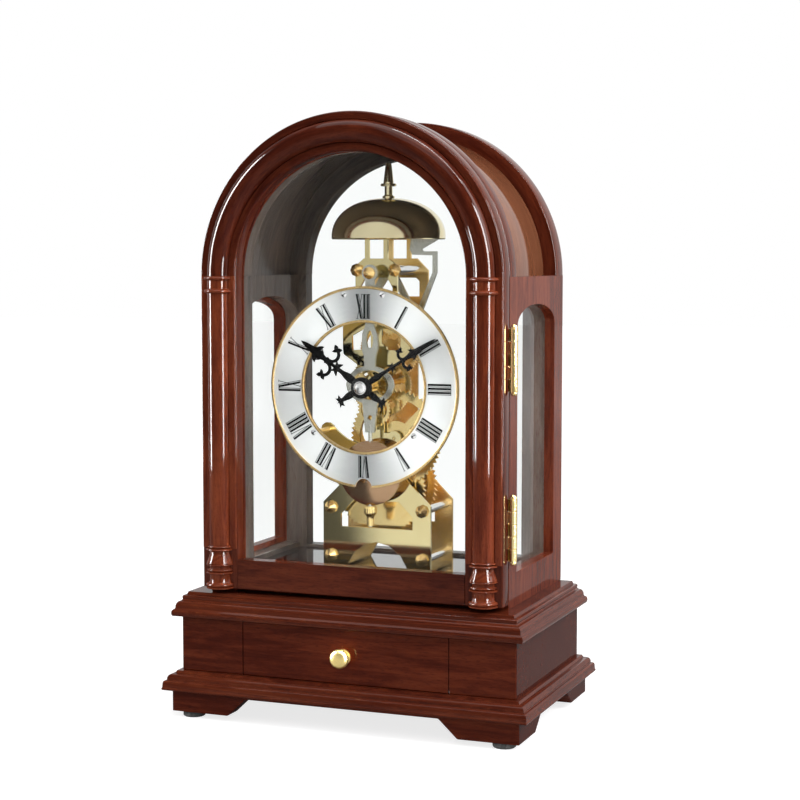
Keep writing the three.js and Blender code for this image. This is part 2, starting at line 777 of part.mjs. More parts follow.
// The meeting point of two circles about a and b, on the right-hand side
function meeting(a, b, ra, rb) {
  const dx = b[0] - a[0];
  const dz = b[1] - a[1];
  const d = Math.hypot(dx, dz);
  const along = (ra * ra - rb * rb + d * d) / (2 * d);
  const off = Math.sqrt(ra * ra - along * along);
  return [a[0] + (along * dx + off * dz) / d, a[1] + (along * dz - off * dx) / d];
}

const angleTo = (a, b) => Math.atan2(b[1] - a[1], b[0] - a[0]);
// A wheel has a tooth on the line to its mate, and the mate has a gap there
const gapTo = (a, b, teeth) => angleTo(a, b) + Math.PI / teeth;

// Arbor places in X and Z
const barrelAt = [0, barrelZ];
const centreAt = [0, handZ];
const secondAt = meeting(barrelAt, centreAt,
  greatModule * (greatTeeth + greatPinion) / 2, secondModule * (secondTeeth + secondPinion) / 2);
const escapeAt = [0, escapeZ];
const thirdAt = meeting(centreAt, escapeAt,
  centreModule * (centreTeeth + thirdPinion) / 2, thirdModule * (thirdTeeth + escapePinion) / 2);
const minuteAt = [0, handZ - motionModule * (cannonTeeth + minuteTeeth) / 2];
const pivotAt = [0, pivotZ];
const strikeReach = strikeModule * (strikeTeeth + strikePinion) / 2;
const pinAt = [pinArborX, barrelZ + Math.sqrt(strikeReach ** 2 - pinArborX ** 2)];
const hammerAt = [hammerPivotX, floorTop + hammerPivotZ];

// Layers along Y between and before the plates
const secondY = frontPlateBack + plateClear;
const greatY = secondY + wheelThickness + greatStep;
const centreWheelY = greatY;
const thirdY = greatY + thirdStep;
const escapeY = thirdY + escapeStep;
const strikeY = greatY + barrelLength + strikeStep;
const pinY = strikeY - wheelThickness - pinStep;
const cockFront = strikeY - cockStep;
const minuteY = frontPlateY - motionStep;
const hourY = minuteY - wheelThickness - hourStep;
const handsY = dialY - rimProud - handStep;
const hourHandY = handsY - handThickness;
const minuteHandY = hourHandY - handGap - handThickness;
const hourBore = centreArborRadius + fit;

// A turned arbor with a pivot at each end, standing between the plates
function arbor(radius, pivot, front = frontPlateBack, frontPivot = frontPlateY) {
  return turned([
    [0, frontPivot], [pivot, frontPivot], [pivot, front + 0.4], [radius, front + 0.4],
    [radius, backPlateY - 0.4], [pivot, backPlateY - 0.4], [pivot, backPlateRear], [0, backPlateRear]], 8);
}

const plug = (radius, y0, y1, segments = 12) => turned(
  [[0, y0], [radius, y0], [radius, y1], [0, y1]], segments);

// Movement frame: two pierced plates, six nutted pillars and the bell bracket
const pivotHoles = [
  [...centreAt, centreArborRadius + fit], [...secondAt, pivotRadius + fit], [...thirdAt, pivotRadius + fit],
  [...escapeAt, pivotRadius + fit], [...barrelAt, barrelPivotRadius + fit], [...pivotAt, arborRadius + fit]];
const pillarPlaces = [
  ['lower_left', -lowerPillarX, floorTop + lowerPillarZ],
  ['lower_right', lowerPillarX, floorTop + lowerPillarZ],
  ['middle_left', -lowerPillarX, floorTop + middlePillarZ],
  ['middle_right', lowerPillarX, floorTop + middlePillarZ],
  ['upper_left', -upperPillarX, floorTop + upperPillarZ],
  ['upper_right', upperPillarX, floorTop + upperPillarZ]];

function holesIn(y0, y1, places) {
  return places.map(([x, z, radius]) => sheet(disc(x, z, radius), y0 - 1, y1 + 1, 4));
}

function plateFoot(y0, y1) {
  const shoulder = floorTop + plateShoulder;
  const house = mirrored([
    [plateHalf, floorTop], [plateHalf, shoulder], [0.6 * plateHalf, shoulder + 0.4 * plateHalf],
    [plateNeck, shoulder + 0.74 * plateHalf]]);
  const arch = new THREE.Shape();
  arch.absellipse(0, floorTop, plateArchHalf, plateArchHeight, 0, 2 * Math.PI);
  const window = mirrored([
    [0.67 * plateHalf, floorTop + 0.7 * plateShoulder], [0.67 * plateHalf, floorTop + 0.86 * plateShoulder],
    [0.42 * plateHalf, floorTop + 1.04 * plateShoulder]]);
  return cut(sheet(house, y0, y1), sheet(arch, y0 - 1, y1 + 1, 8), sheet(window, y0 - 1, y1 + 1));
}

const post = (side, y0, y1, bottom) => block(
  side * postHalf - postWidth / 2, side * postHalf + postWidth / 2, y0, y1, bottom, postTopZ);

function buildPlates() {
  const front = [frontPlateY, frontPlateBack];
  const rear = [backPlateY, backPlateRear];
  const yoke = new THREE.Shape();
  const footAngle = Math.atan2(lowerFootZ - dialHeight, lowerFootX);
  const yokeInner = dialOpening / 2 - 0.5;
  const yokeOuter = yokeInner + yokeWidth;
  yoke.absarc(0, handZ, yokeOuter, Math.PI - footAngle, 2 * Math.PI + footAngle, false);
  yoke.absarc(0, handZ, yokeInner, 2 * Math.PI + footAngle, Math.PI - footAngle, true);
  const bridge = escapeZ - 0.87 * lanternHalf;
  const waist = escapeZ - 0.28 * lanternHalf;
  const lantern = mirrored([
    [0.28 * lanternHalf, bridge - 0.505 * lanternHalf], [0.55 * lanternHalf, bridge - 0.454 * lanternHalf],
    [0.98 * lanternHalf, bridge - 0.16 * lanternHalf], [lanternHalf, bridge], [lanternHalf, waist],
    [lanternNeck, escapeZ + 0.74 * lanternNeck], [lanternNeck, plateTopZ - 0.33 * lanternNeck],
    [0.6 * lanternNeck, plateTopZ]]);
  const pane = polygon([
    [0.165 * lanternHalf, bridge], [0.71 * lanternHalf, bridge - 0.04 * lanternHalf],
    [0.73 * lanternHalf, bridge + 0.353 * lanternHalf], [0.34 * lanternHalf, waist - 0.02 * lanternHalf],
    [0.165 * lanternHalf, waist - 0.02 * lanternHalf]]);
  const upperPane = mirrored([
    [0.78 * lanternNeck, escapeZ + 0.44 * lanternNeck], [0.78 * lanternNeck, pivotZ - 0.65 * lanternNeck],
    [0.52 * lanternNeck, pivotZ - 0.21 * lanternNeck]]);
  const lug = (x, z, radius) => sheet(disc(x, z, radius), ...front, 5);
  const frontBody = join(
    plateFoot(...front), sheet(yoke, ...front, 8), lug(-lowerFootX, floorTop + lowerFootZ, lugRadius),
    lug(lowerFootX, floorTop + lowerFootZ, lugRadius), lug(...centreAt, centreLug), lug(...secondAt, lugRadius),
    block(-frontColumn, frontColumn, ...front, floorTop + plateShoulder + 0.6 * plateHalf,
      bridge - 0.23 * lanternHalf),
    block(0, secondAt[0], ...front, secondAt[1] - 0.7 * lugRadius, secondAt[1] + 0.7 * lugRadius),
    cut(sheet(lantern, ...front), sheet(pane, front[0] - 1, front[1] + 1),
      sheet(pane, front[0] - 1, front[1] + 1).scale(-1, 1, 1), sheet(upperPane, front[0] - 1, front[1] + 1)),
    lug(...thirdAt, lugRadius), post(-1, ...front, plateTopZ - 2), post(1, ...front, plateTopZ - 2));
  const shankHoles = pillarPlaces.map(([, x, z]) => [x, z, shankRadius + fit]);
  piece(movement, 'front_plate', join(
    cut(frontBody, ...holesIn(...front, [...pivotHoles, ...shankHoles])),
    plug(studRadius, hourY - 0.6, frontPlateY + 0.5, 12).translate(minuteAt[0], 0, minuteAt[1]),
    plug(studRadius, frontPlateBack - 0.5, hammerY + 2.6, 12).translate(hammerAt[0], 0, hammerAt[1])), brass);

  const crown = mirrored([
    [backColumn, escapeZ + 0.11 * crownHalf], [crownHalf, pivotZ - 0.52 * crownHalf],
    [crownHalf, pivotZ + 0.064 * crownHalf], [0.61 * crownHalf, plateTopZ]]);
  const crownPane = mirrored([
    [0.7 * crownHalf, pivotZ - 0.787 * crownHalf], [0.7 * crownHalf, pivotZ - 0.282 * crownHalf],
    [0.58 * crownHalf, pivotZ - 0.176 * crownHalf]]);
  const cockY = [cockFront, cockFront + cockThickness];
  const cockPost = [pinAt[0] + cockArm, pinAt[1] + cockReach];
  const cock = join(
    sheet(disc(...pinAt, lugRadius), ...cockY, 6),
    sheet(polygon([
      [pinAt[0] - cockArm, pinAt[1]], [pinAt[0] + cockArm, pinAt[1]], [cockPost[0] + cockArm, cockPost[1]],
      [cockPost[0] - cockArm, cockPost[1]]]), ...cockY),
    plug(cockArm, cockY[0], backPlateY + 0.5, 12).translate(cockPost[0], 0, cockPost[1]));
  const rearBody = join(
    plateFoot(...rear), block(-backColumn, backColumn, ...rear, floorTop + plateShoulder + 0.5 * plateHalf,
      escapeZ + 0.32 * crownHalf),
    cut(sheet(crown, ...rear), sheet(crownPane, rear[0] - 1, rear[1] + 1)),
    post(-1, ...rear, plateTopZ - 2), post(1, ...rear, plateTopZ - 2), cock);
  piece(movement, 'back_plate', cut(
    rearBody, ...holesIn(...rear, [...pivotHoles, ...shankHoles]),
    ...holesIn(cockY[0], rear[1], [[...pinAt, pivotRadius + fit]])), darkBrass);

  for (const [name, x, z] of pillarPlaces) {
    const nut = (y, way) => [
      [shankRadius, y], [nutRadius, y], [nutRadius, y - way * 0.45 * nutRadius],
      [0, y - way * 1.05 * nutRadius]];
    const profile = [
      ...nut(frontPlateY, 1).reverse(), [shankRadius, frontPlateBack], [pillarRadius, frontPlateBack],
      [pillarRadius, backPlateY], [shankRadius, backPlateY], ...nut(backPlateRear, -1)];
    piece(movement, `${name}_pillar`, turned(profile, 10), steel, [x, 0, z]);
  }

  const half = postHalf + postWidth;
  const seatTop = postTopZ + bracketThickness;
  const crownBase = bellTopZ - bellWall - 2 * fit;
  piece(movement, 'bell_bracket', join(
    block(-half, half, frontPlateY - 1, backPlateRear + 1, postTopZ, seatTop),
    turnedUp([
      [0, seatTop - 1], [bellSeat, seatTop - 1], [bellSeat, crownBase], [bellStem, crownBase],
      [bellStem, bellTopZ], [0, bellTopZ]], 16).translate(0, bellY, 0)), darkBrass);
}

// Bell, its finial and the flat stamped hammer that strikes inside the rim
function buildBell() {
  const steps = 5;
  const dome = (radius, height) => Array.from({ length: steps }, (_, i) => {
    const angle = 0.5 * Math.PI * i / steps;
    return [radius * Math.cos(angle), bellRimZ + 2 + height * Math.sin(angle)];
  });
  const bore = bellStem + fit;
  const flat = 2 * bellStem;
  const outer = [
    [bellRadius, bellRimZ], ...dome(bellRadius, bellHeight - 2), [flat, bellTopZ], [bore, bellTopZ]];
  const under = bellTopZ - bellWall;
  const inner = [[bellRadius - bellWall, bellRimZ],
    ...dome(bellRadius - bellWall, bellHeight - 2 - bellWall), [flat, under], [bore, under]];
  piece(movement, 'bell', turnedUp([...outer, ...inner.reverse(), outer[0]], 26), brass, [0, bellY, 0]);
  // Finial: shares of its radius and height
  const finialSteps = [
    [0, 0], [0.77, 0], [0.77, 0.065], [0.54, 0.1], [0.5, 0.26], [0.62, 0.32], [1, 0.34], [1, 0.4], [0.7, 0.43],
    [0.6, 0.51], [0.34, 0.75], [0, 1]];
  const finialLine = finialSteps.map(([r, h]) => [r * finialRadius, h * finialHeight]);
  piece(movement, 'bell_finial', turnedUp(finialLine, 14), brass, [0, bellY, bellTopZ]);

  // Hammer: shares of its head in from the bell's wall and up from its rim, then shares of its hub
  const [px, pz] = hammerAt;
  const wall = bellRadius - bellWall;
  const headSteps = [
    [0.083, -1.11], [0.083, -0.405], [0.583, -0.405], [0.628, -0.328], [0.089, -0.033], [0.044, 0.11],
    [0.39, 0.167], [1, 0.144], [1.06, -0.34], [0.97, -0.52], [0.24, -0.54], [0.24, -1.11]];
  const hubSteps = [[0.77, 2.15], [-0.69, 0.46], [0.62, -0.54], [2.08, 1.85]];
  const arm = polygon([
    ...headSteps.map(([x, z]) => [wall - x * hammerHead, bellRimZ + z * hammerHead]),
    ...hubSteps.map(([x, z]) => [px + x * hammerHub, pz + z * hammerHub])]);
  const armY = [hammerY - hammerThickness / 2, hammerY + hammerThickness / 2];
  piece(movement, 'hammer', cut(
    join(sheet(arm, ...armY),
      plug(hammerHub, hammerY - 1.9 * hammerHub, hammerY + 0.77 * hammerHub, 14).translate(px, 0, pz)),
    plug(studRadius + fit, hammerY - 3 * hammerHub, hammerY + 2 * hammerHub, 12).translate(px, 0, pz)), steel);
}

// Dial ring on four feet, with raised rims and the notch that shows the bob
function buildDial() {
  const radius = dialDiameter / 2;
  const open = dialOpening / 2;
  const notch = new THREE.Shape();
  const notchHalf = notchWidth / 2;
  const notchZ = notchDepth - radius;
  notch.moveTo(-notchHalf, -radius - 2);
  notch.lineTo(notchHalf, -radius - 2);
  notch.lineTo(notchHalf, notchZ);
  notch.absarc(0, notchZ, notchHalf, 0, Math.PI);
  notch.lineTo(-notchHalf, -radius - 2);
  const back = dialY + dialThickness;
  const proud = dialY - rimProud;
  const ring = turned([
    [open, back], [open, proud], [open + innerRim, proud], [open + innerRim, dialY], [radius - outerRim, dialY],
    [radius - outerRim, proud], [radius, proud], [radius, back], [open, back]], 48);
  const body = cut(ring, sheet(notch, proud - 1, back + 1, 6));
  const foot = (x, z) => plug(footRadius, back - 0.4, frontPlateY, 8).translate(x, 0, z - dialHeight);
  piece(movement, 'dial_ring', join(
    body, foot(-upperFootX, upperFootZ), foot(upperFootX, upperFootZ),
    foot(-lowerFootX, lowerFootZ), foot(lowerFootX, lowerFootZ)), silver, [0, 0, handZ]);
}

// Hands, drawn pointing up: a blade, paired scrolls, barbs and a trefoil tail
function scroll(x, z, radius, width, from, to) {
  const shape = new THREE.Shape();
  shape.absarc(x, z, radius + width / 2, from, to, false);
  shape.absarc(x, z, radius - width / 2, to, from, true);
  return shape;
}

function handOutline(length, barbShare, scrollShare, radiusShare, spreadShare) {
  const barb = barbShare * length;
  const scrollAt = scrollShare * length;
  const r = radiusShare * length;
  const spread = spreadShare * length;
  const half = [
    [1.2, hubRadius - 1], [2, hubRadius + 5], [1, barb - 3], [3.6, barb - 0.6], [0.9, barb + 3],
    [1.4, scrollAt + 1.2 * r], [1.25 * r, scrollAt + 1.6 * r], [1.6, scrollAt + 2.4 * r],
    [0.5, length - 4], [0.25, length]];
  const tail = [
    [1.2, 1 - hubRadius], [2, -hubRadius - 5], [1, 4 - handTail], [3.2, 2.6 - handTail], [0.9, 1.6 - handTail],
    [0.3, -handTail]];
  const turnRight = scroll(spread, scrollAt, r, scrollWidth, 0.75 * Math.PI, 2.1 * Math.PI);
  const turnLeft = scroll(-spread, scrollAt, r, scrollWidth, -1.1 * Math.PI, 0.25 * Math.PI);
  const leaf = (side) => polygon([
    [side * (spread + 0.5 * r), scrollAt + 0.5 * r], [side * (spread + 0.95 * r), scrollAt - 0.2 * r],
    [side * (spread + 1.6 * r), scrollAt - 0.3 * r], [side * (spread + 1.25 * r), scrollAt + 0.3 * r],
    [side * (spread + 1.45 * r), scrollAt + r], [side * (spread + 0.9 * r), scrollAt + 0.6 * r]]);
  return [mirrored(half), mirrored(tail), turnRight, turnLeft, leaf(-1), leaf(1)];
}

function buildHands() {
  const degrees = Math.PI / 180;
  const hand = (outline, y, bore) => cut(
    join(plug(hubRadius, y, y + handThickness, 18),
      ...outline.map((shape) => sheet(shape, y, y + handThickness, 5))),
    plug(bore, y - 1, y + handThickness + 1, 16));
  const hour = piece(movement, 'hour_hand', hand(
    handOutline(hourHandLength, 0.417, 0.552, 0.09, 0.105), 0, hourPipeRadius + fit), blackLacquer,
  [0, hourHandY, handZ]);
  hour.rotation.y = hourHandTurn * degrees;
  const minute = piece(movement, 'minute_hand', hand(
    handOutline(minuteHandLength, 0.412, 0.592, 0.052, 0.06), 0, centreArborRadius + fit),
  blackLacquer, [0, minuteHandY, handZ]);
  minute.rotation.y = minuteHandTurn * degrees;
  const r = handNutRadius;
  piece(movement, 'hand_nut', turned([
    [0, -2.6], [0.6 * r, -2.4], [r, -1.6], [r, -0.2], [0, -0.2]], 18), steel, [0, minuteHandY, handZ]);
}

// Going train from barrel to escape wheel, and the motion work before the plate
function buildTrain() {
  const place = (at) => [at[0], 0, at[1]];
  const wheel = (shape, y) => sheet(shape, y, y + wheelThickness, 3);
  const pinion = (teeth, module, turn, y0, y1) => sheet(
    toothedShape(teeth, module, turn, leafRoot, leafTip), y0, y1);

  const drumBack = greatY + 2 + barrelLength;
  const drum = join(
    sheet(toothedShape(greatTeeth, greatModule, angleTo(barrelAt, secondAt)), greatY, greatY + 2.2),
    plug(barrelRadius, greatY - 1, drumBack, 28));
  piece(movement, 'barrel', cut(
    drum, plug(barrelArborRadius + fit, greatY - 2, drumBack + 1, 14)), brass, place(barrelAt));

  const ratchetY = backPlateRear + 0.6;
  piece(movement, 'barrel_arbor', join(
    turned([
      [0, frontPlateY], [barrelPivotRadius, frontPlateY], [barrelPivotRadius, greatY - 1],
      [barrelArborRadius, greatY - 1], [barrelArborRadius, backPlateY - 0.4],
      [barrelPivotRadius, backPlateY - 0.4], [barrelPivotRadius, ratchetY + 1], [0, ratchetY + 1]], 14),
    sheet(sawShape(ratchetTeeth, ratchetRadius, ratchetTooth), ratchetY, ratchetY + ratchetTooth),
    block(-squareHalf, squareHalf, ratchetY + 1, ratchetY + 1 + squareLength, -squareHalf, squareHalf)),
  steel, place(barrelAt));

  piece(movement, 'second_wheel', join(
    wheel(crossedWheel(secondTeeth, secondModule, angleTo(secondAt, centreAt)), secondY),
    arbor(arborRadius, pivotRadius), plug(lugRadius, secondY, secondY + 2.4),
    pinion(greatPinion, greatModule, gapTo(secondAt, barrelAt, greatPinion), greatY - 1.2, greatY + 3.4)),
  brass, place(secondAt));

  const centreThick = 1.2 * centreArborRadius;
  const centreRod = turned([
    [0, minuteHandY - 0.1], [centreArborRadius, minuteHandY - 0.1], [centreArborRadius, frontPlateBack + 0.4],
    [centreThick, frontPlateBack + 0.4], [centreThick, backPlateY - 0.4],
    [centreArborRadius, backPlateY - 0.4], [centreArborRadius, backPlateRear], [0, backPlateRear]], 10);
  piece(movement, 'centre_wheel', join(
    wheel(crossedWheel(centreTeeth, centreModule, angleTo(centreAt, thirdAt)), centreWheelY), centreRod,
    pinion(secondPinion, secondModule, gapTo(centreAt, secondAt, secondPinion), secondY - 0.6, secondY + 2.2),
    pinion(cannonTeeth, motionModule, gapTo(centreAt, minuteAt, cannonTeeth), minuteY - 0.3, minuteY + 2.2)),
  brass, place(centreAt));

  piece(movement, 'third_wheel', join(
    wheel(crossedWheel(thirdTeeth, thirdModule, angleTo(thirdAt, escapeAt)), thirdY),
    arbor(thinArbor, pivotRadius),
    pinion(thirdPinion, centreModule, gapTo(thirdAt, centreAt, thirdPinion),
      centreWheelY - 0.8, centreWheelY + 2.2)),
  brass, place(thirdAt));

  const escapeShape = crossings(sawShape(escapeTeeth, escapeRadius, escapeTooth), escapeRadius - escapeTooth);
  piece(movement, 'escape_wheel', join(
    sheet(escapeShape, escapeY, escapeY + wheelThickness, 3), arbor(thinArbor, pivotRadius),
    pinion(escapePinion, thirdModule, gapTo(escapeAt, thirdAt, escapePinion), thirdY - 0.8, thirdY + 2.2)),
  brass, place(escapeAt));

  piece(movement, 'minute_wheel', cut(join(
    wheel(crossedWheel(minuteTeeth, motionModule, angleTo(minuteAt, centreAt)), minuteY),
    pinion(minutePinionTeeth, motionModule, gapTo(minuteAt, centreAt, minutePinionTeeth),
      hourY - 0.4, minuteY + 0.5)),
  plug(studRadius + fit, hourY - 2, minuteY + 3, 12)), brass, place(minuteAt));

  piece(movement, 'hour_wheel', cut(join(
    wheel(crossedWheel(hourTeeth, motionModule, angleTo(centreAt, minuteAt)), hourY),
    plug(hourPipeRadius, hourHandY - 0.2, hourY + wheelThickness)),
  plug(hourBore, hourHandY - 2, hourY + 4)), brass, place(centreAt));
}

// Pendulum: anchor and arbor between the plates, flat rod in front, bob and rating nut
function buildPendulum() {
  const reach = pivotZ - escapeZ;
  const open = Math.acos(escapeRadius / reach);
  const clear = escapeRadius + 1.7;
  const tipX = clear * Math.sin(open);
  const tipZ = escapeZ + clear * Math.cos(open) - pivotZ;
  const arms = mirrored([
    [1.4, -4.6], [tipX - 0.9, tipZ + 2], [tipX + 0.4, tipZ - 0.4], [tipX + 2, tipZ + 0.6],
    [tipX + 1.4, tipZ + 4],
    [3.4, 2.4]]);
  const y0 = escapeY - 0.5;
  const y1 = escapeY + 1.7;
  const rodFront = pendulumY - pendulumThickness / 2;
  const rodBack = pendulumY + pendulumThickness / 2;
  piece(movement, 'anchor', join(
    sheet(arms, y0, y1), plug(3.6, y0 - 0.6, y1 + 0.6),
    turned([
      [0, rodFront - 0.6], [arborRadius, rodFront - 0.6], [arborRadius, backPlateY - 0.4],
      [pivotRadius, backPlateY - 0.4], [pivotRadius, backPlateRear], [0, backPlateRear]], 12)),
  steel, [0, 0, pivotZ]);

  const loopZ = handZ - pivotZ + 1;
  const ellipse = (w, h) => {
    const shape = new THREE.Shape();
    shape.absellipse(0, loopZ, w / 2, h / 2, 0, 2 * Math.PI);
    return shape;
  };
  const slab = (shape, segments) => sheet(shape, rodFront, rodBack, segments);
  const through = (shape, segments) => sheet(shape, rodFront - 1, rodBack + 1, segments);
  const loopTop = loopZ + loopHeight / 2;
  const loopBottom = loopZ - loopHeight / 2;
  const lensZ = loopTop + lensRise;
  const onRod = (base, steps) => steps.map(([x, z]) => [x * rodHalf, base + z * rodHalf]);
  const upper = mirrored([
    ...onRod(loopTop, [[0.69, -0.33], [0.78, 1.22], [1, 1.84]]), ...onRod(lensZ, [[1, 0.61], [0.57, 1.63]]),
    ...onRod(0, [[0.57, -0.61], [0.49, 0.9]])]);
  const slot = mirrored(onRod(lensZ, [[0.29, -1.06], [0.45, -0.41], [0.45, 0.31], [0.16, 1.02]]));
  const lower = mirrored(onRod(loopBottom, [[0.61, -3.47], [0.69, -2.65], [0.88, -0.82], [1.02, 0.41]]));
  const rodEnd = bobZ - pivotZ - bobRadius - ratingNutHeight - 1;
  piece(movement, 'pendulum_rod', cut(join(
    slab(upper), slab(lower), cut(slab(ellipse(loopWidth, loopHeight), 12),
      through(ellipse(loopWidth - 2 * loopBand, loopHeight - 2 * loopBand + 1.6), 12)),
    slab(disc(0, 0, 1.02 * rodHalf), 8),
    turnedUp([
      [0, rodEnd], [rodRadius, rodEnd], [rodRadius, loopBottom - rodTuck], [0, loopBottom - rodTuck]], 10)
      .translate(0, pendulumY, 0)),
  through(slot), through(disc(0, loopBottom - 1.63 * rodHalf, 0.31 * rodHalf), 6),
  through(disc(0, 0, arborRadius + fit), 6)),
  steel, [0, 0, pivotZ]);

  const half = bobThickness / 2;
  const face = Array.from({ length: 5 }, (_, i) => {
    const r = bobRadius * i / 4;
    return [r, half - (half - bobEdge / 2) * (i / 4) ** 2];
  });
  const bobProfile = [...face.map(([r, h]) => [r, -h]), ...face.reverse()];
  piece(movement, 'pendulum_bob', cut(
    turned(bobProfile, 28),
    turnedUp([[0, -2 * bobRadius], [rodRadius + fit, -2 * bobRadius], [rodRadius + fit, 2 * bobRadius],
      [0, 2 * bobRadius]], 10)), brass, [0, pendulumY, bobZ]);

  const n = ratingNutRadius;
  const bore = rodRadius + fit;
  piece(movement, 'rating_nut', turnedUp([
    [bore, -ratingNutHeight], [bore + 0.7, -ratingNutHeight], [bore + 0.7, 0.36 - 0.6 * ratingNutHeight],
    [0.8 * n, -0.45 * ratingNutHeight], [n, -0.34 * ratingNutHeight], [n, -0.6], [0.85 * n, 0], [bore, 0],
    [bore, -ratingNutHeight]], 12), brass, [0, pendulumY, bobZ - bobRadius - fit]);
}

// Striking work behind the going barrel
function buildStrike() {
  const place = (at) => [at[0], 0, at[1]];
  const drumBack = strikeY + strikeLength;
  piece(movement, 'strike_barrel', cut(
    join(
      sheet(toothedShape(strikeTeeth, strikeModule, angleTo(barrelAt, pinAt)), strikeY, strikeY + 2),
      plug(barrelRadius, strikeY, drumBack, 24)),
    plug(barrelArborRadius + fit, strikeY - 1, drumBack + 1, 14)), darkBrass, place(barrelAt));
  piece(movement, 'pin_wheel', join(
    sheet(crossedWheel(pinTeeth, pinModule, 0), pinY, pinY + wheelThickness, 3),
    arbor(arborRadius, pivotRadius, cockFront + cockThickness, cockFront),
    sheet(toothedShape(strikePinion, strikeModule, gapTo(pinAt, barrelAt, strikePinion), leafRoot, leafTip),
      pinY + 0.4, strikeY + 2.4)), darkBrass, place(pinAt));
}

buildBase();
buildDrawer();
buildShell();
buildDoor();
buildHinge('lower', lowerHingeZ);
buildHinge('upper', upperHingeZ);
buildPlates();
buildBell();
buildDial();
buildHands();
buildTrain();
buildPendulum();
buildStrike();

export default clock;
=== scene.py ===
import math
import bmesh
import bpy
import numpy as np
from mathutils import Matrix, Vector


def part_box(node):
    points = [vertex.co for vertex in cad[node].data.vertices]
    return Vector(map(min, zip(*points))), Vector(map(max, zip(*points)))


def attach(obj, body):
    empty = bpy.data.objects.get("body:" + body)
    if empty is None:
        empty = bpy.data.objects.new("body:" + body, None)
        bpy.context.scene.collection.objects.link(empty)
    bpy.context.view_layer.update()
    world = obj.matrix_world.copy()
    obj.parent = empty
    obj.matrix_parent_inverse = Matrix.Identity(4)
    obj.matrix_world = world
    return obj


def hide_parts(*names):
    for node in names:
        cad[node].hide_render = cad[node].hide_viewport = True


# Looks for an arch-topped mahogany desk clock. Lengths in the dictionaries are millimetres.
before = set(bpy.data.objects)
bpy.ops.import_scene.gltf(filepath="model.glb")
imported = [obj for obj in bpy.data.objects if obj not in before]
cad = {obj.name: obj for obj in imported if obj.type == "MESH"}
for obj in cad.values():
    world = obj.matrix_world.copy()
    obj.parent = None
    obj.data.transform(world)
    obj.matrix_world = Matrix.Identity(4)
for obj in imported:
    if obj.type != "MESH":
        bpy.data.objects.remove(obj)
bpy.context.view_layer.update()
scene = bpy.context.scene
scene.view_settings.view_transform = "Standard"
mm = 0.001
meshLook = {"seam": 2e-6, "sliver": 1e-7, "weld": 1e-6,  # metres
            "sharp": 40, "segments": 2, "grainRadius": 2.0, "boardShift": 40.0}
print("frame loaded:", len(cad), "solids")


def corners(name):
    # lowest and highest corner of a solid
    return tuple(np.array(p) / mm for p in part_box(name))


# Mesh tools. A patch holds points v, faces f and grain coordinates g (along, across, into the wood).
square = ((-1, -1), (1, -1), (1, 1), (-1, 1))
boxFaces = np.array([[0, 3, 2, 1], [4, 5, 6, 7], [0, 1, 5, 4], [1, 2, 6, 5], [2, 3, 7, 6], [3, 0, 4, 7]])


def coords(*parts):
    # arrays of one shape side by side, as coordinates of points or corners of faces
    return np.stack(parts, -1)


def gridPatch(points, wrapRows=False, wrapCols=False, grain=None):
    # quads over a grid of points (rows, columns, xyz), closed round in either direction if asked
    rows, cols = points.shape[:2]
    r = np.arange(rows if wrapRows else rows - 1)[:, None]
    c = np.arange(cols if wrapCols else cols - 1)[None, :]
    rn, cn = (r + 1) % rows, (c + 1) % cols
    quads = coords(r * cols + c, r * cols + cn, rn * cols + cn, rn * cols + c).reshape(-1, 4)
    grain = points if grain is None else np.broadcast_to(grain, points.shape)
    return {"v": points.reshape(-1, 3), "f": quads.tolist(), "g": grain.reshape(-1, 3)}


def ringCap(points, grain=None):
    # one flat face across a closed row of points
    return {"v": points, "f": [list(range(len(points)))], "g": points if grain is None else grain}


def tube(points, grain=None):
    # closed rows of points joined up, with a cap on the first and on the last
    grain = points if grain is None else grain
    return [gridPatch(points, wrapCols=True, grain=grain), *(ringCap(points[i], grain[i]) for i in (0, -1))]


def walkAlong(line):
    # distance walked along a line of points
    return np.concatenate([[0], np.cumsum(np.hypot(*np.diff(line, axis=0).T))])


def turned(profile, centre, axis, steps, ridges=0, ridgeShare=0.0):
    # a profile of radius and height carried round an axis: x = r cos a, the other way across = r sin a;
    # ridges make the radius swell and shrink as the cosine of so many turns
    profile = np.asarray(profile, float)
    a = np.linspace(0, 2 * np.pi, steps, endpoint=False)[:, None]
    r = profile[None, :, 0] * (1 + ridgeShare * np.cos(ridges * a))
    h = profile[None, :, 1] + 0 * a
    p, q = r * np.cos(a), r * np.sin(a)
    points = np.stack([p, q, h] if axis == "z" else [p, h, q], -1) + np.asarray(centre, float)
    follow = coords(h, a * np.maximum(r, meshLook["grainRadius"]), 0 * h)
    return gridPatch(points, wrapRows=True, grain=follow)


def block(lo, hi, along=0):
    # eight corners of a block; the grain runs along the numbered axis
    lo, hi = np.asarray(lo, float), np.asarray(hi, float)
    v = (lo + hi) / 2 + np.array([(*end, top) for top in (-1, 1) for end in square]) * (hi - lo) / 2
    return {"v": v, "f": boxFaces.tolist(), "g": np.roll(v, -along, axis=1)}


def through(points, per=8):
    # a smooth line through the points: a cubic of each point and its neighbours
    p = np.asarray(points, float)
    p = np.vstack([2 * p[:1] - p[1:2], p, 2 * p[-1:] - p[-2:-1]])
    t = np.linspace(0, 1, per, endpoint=False)[None, :, None]
    a, b, c, d = (x[:, None, :] for x in (p[:-3], p[1:-2], p[2:-1], p[3:]))
    line = 0.5 * (
        2 * b + (c - a) * t + (2 * a - 5 * b + 4 * c - d) * t ** 2 + (3 * b - a - 3 * c + d) * t ** 3)
    return np.vstack([line.reshape(-1, p.shape[1]), p[-2:-1]])


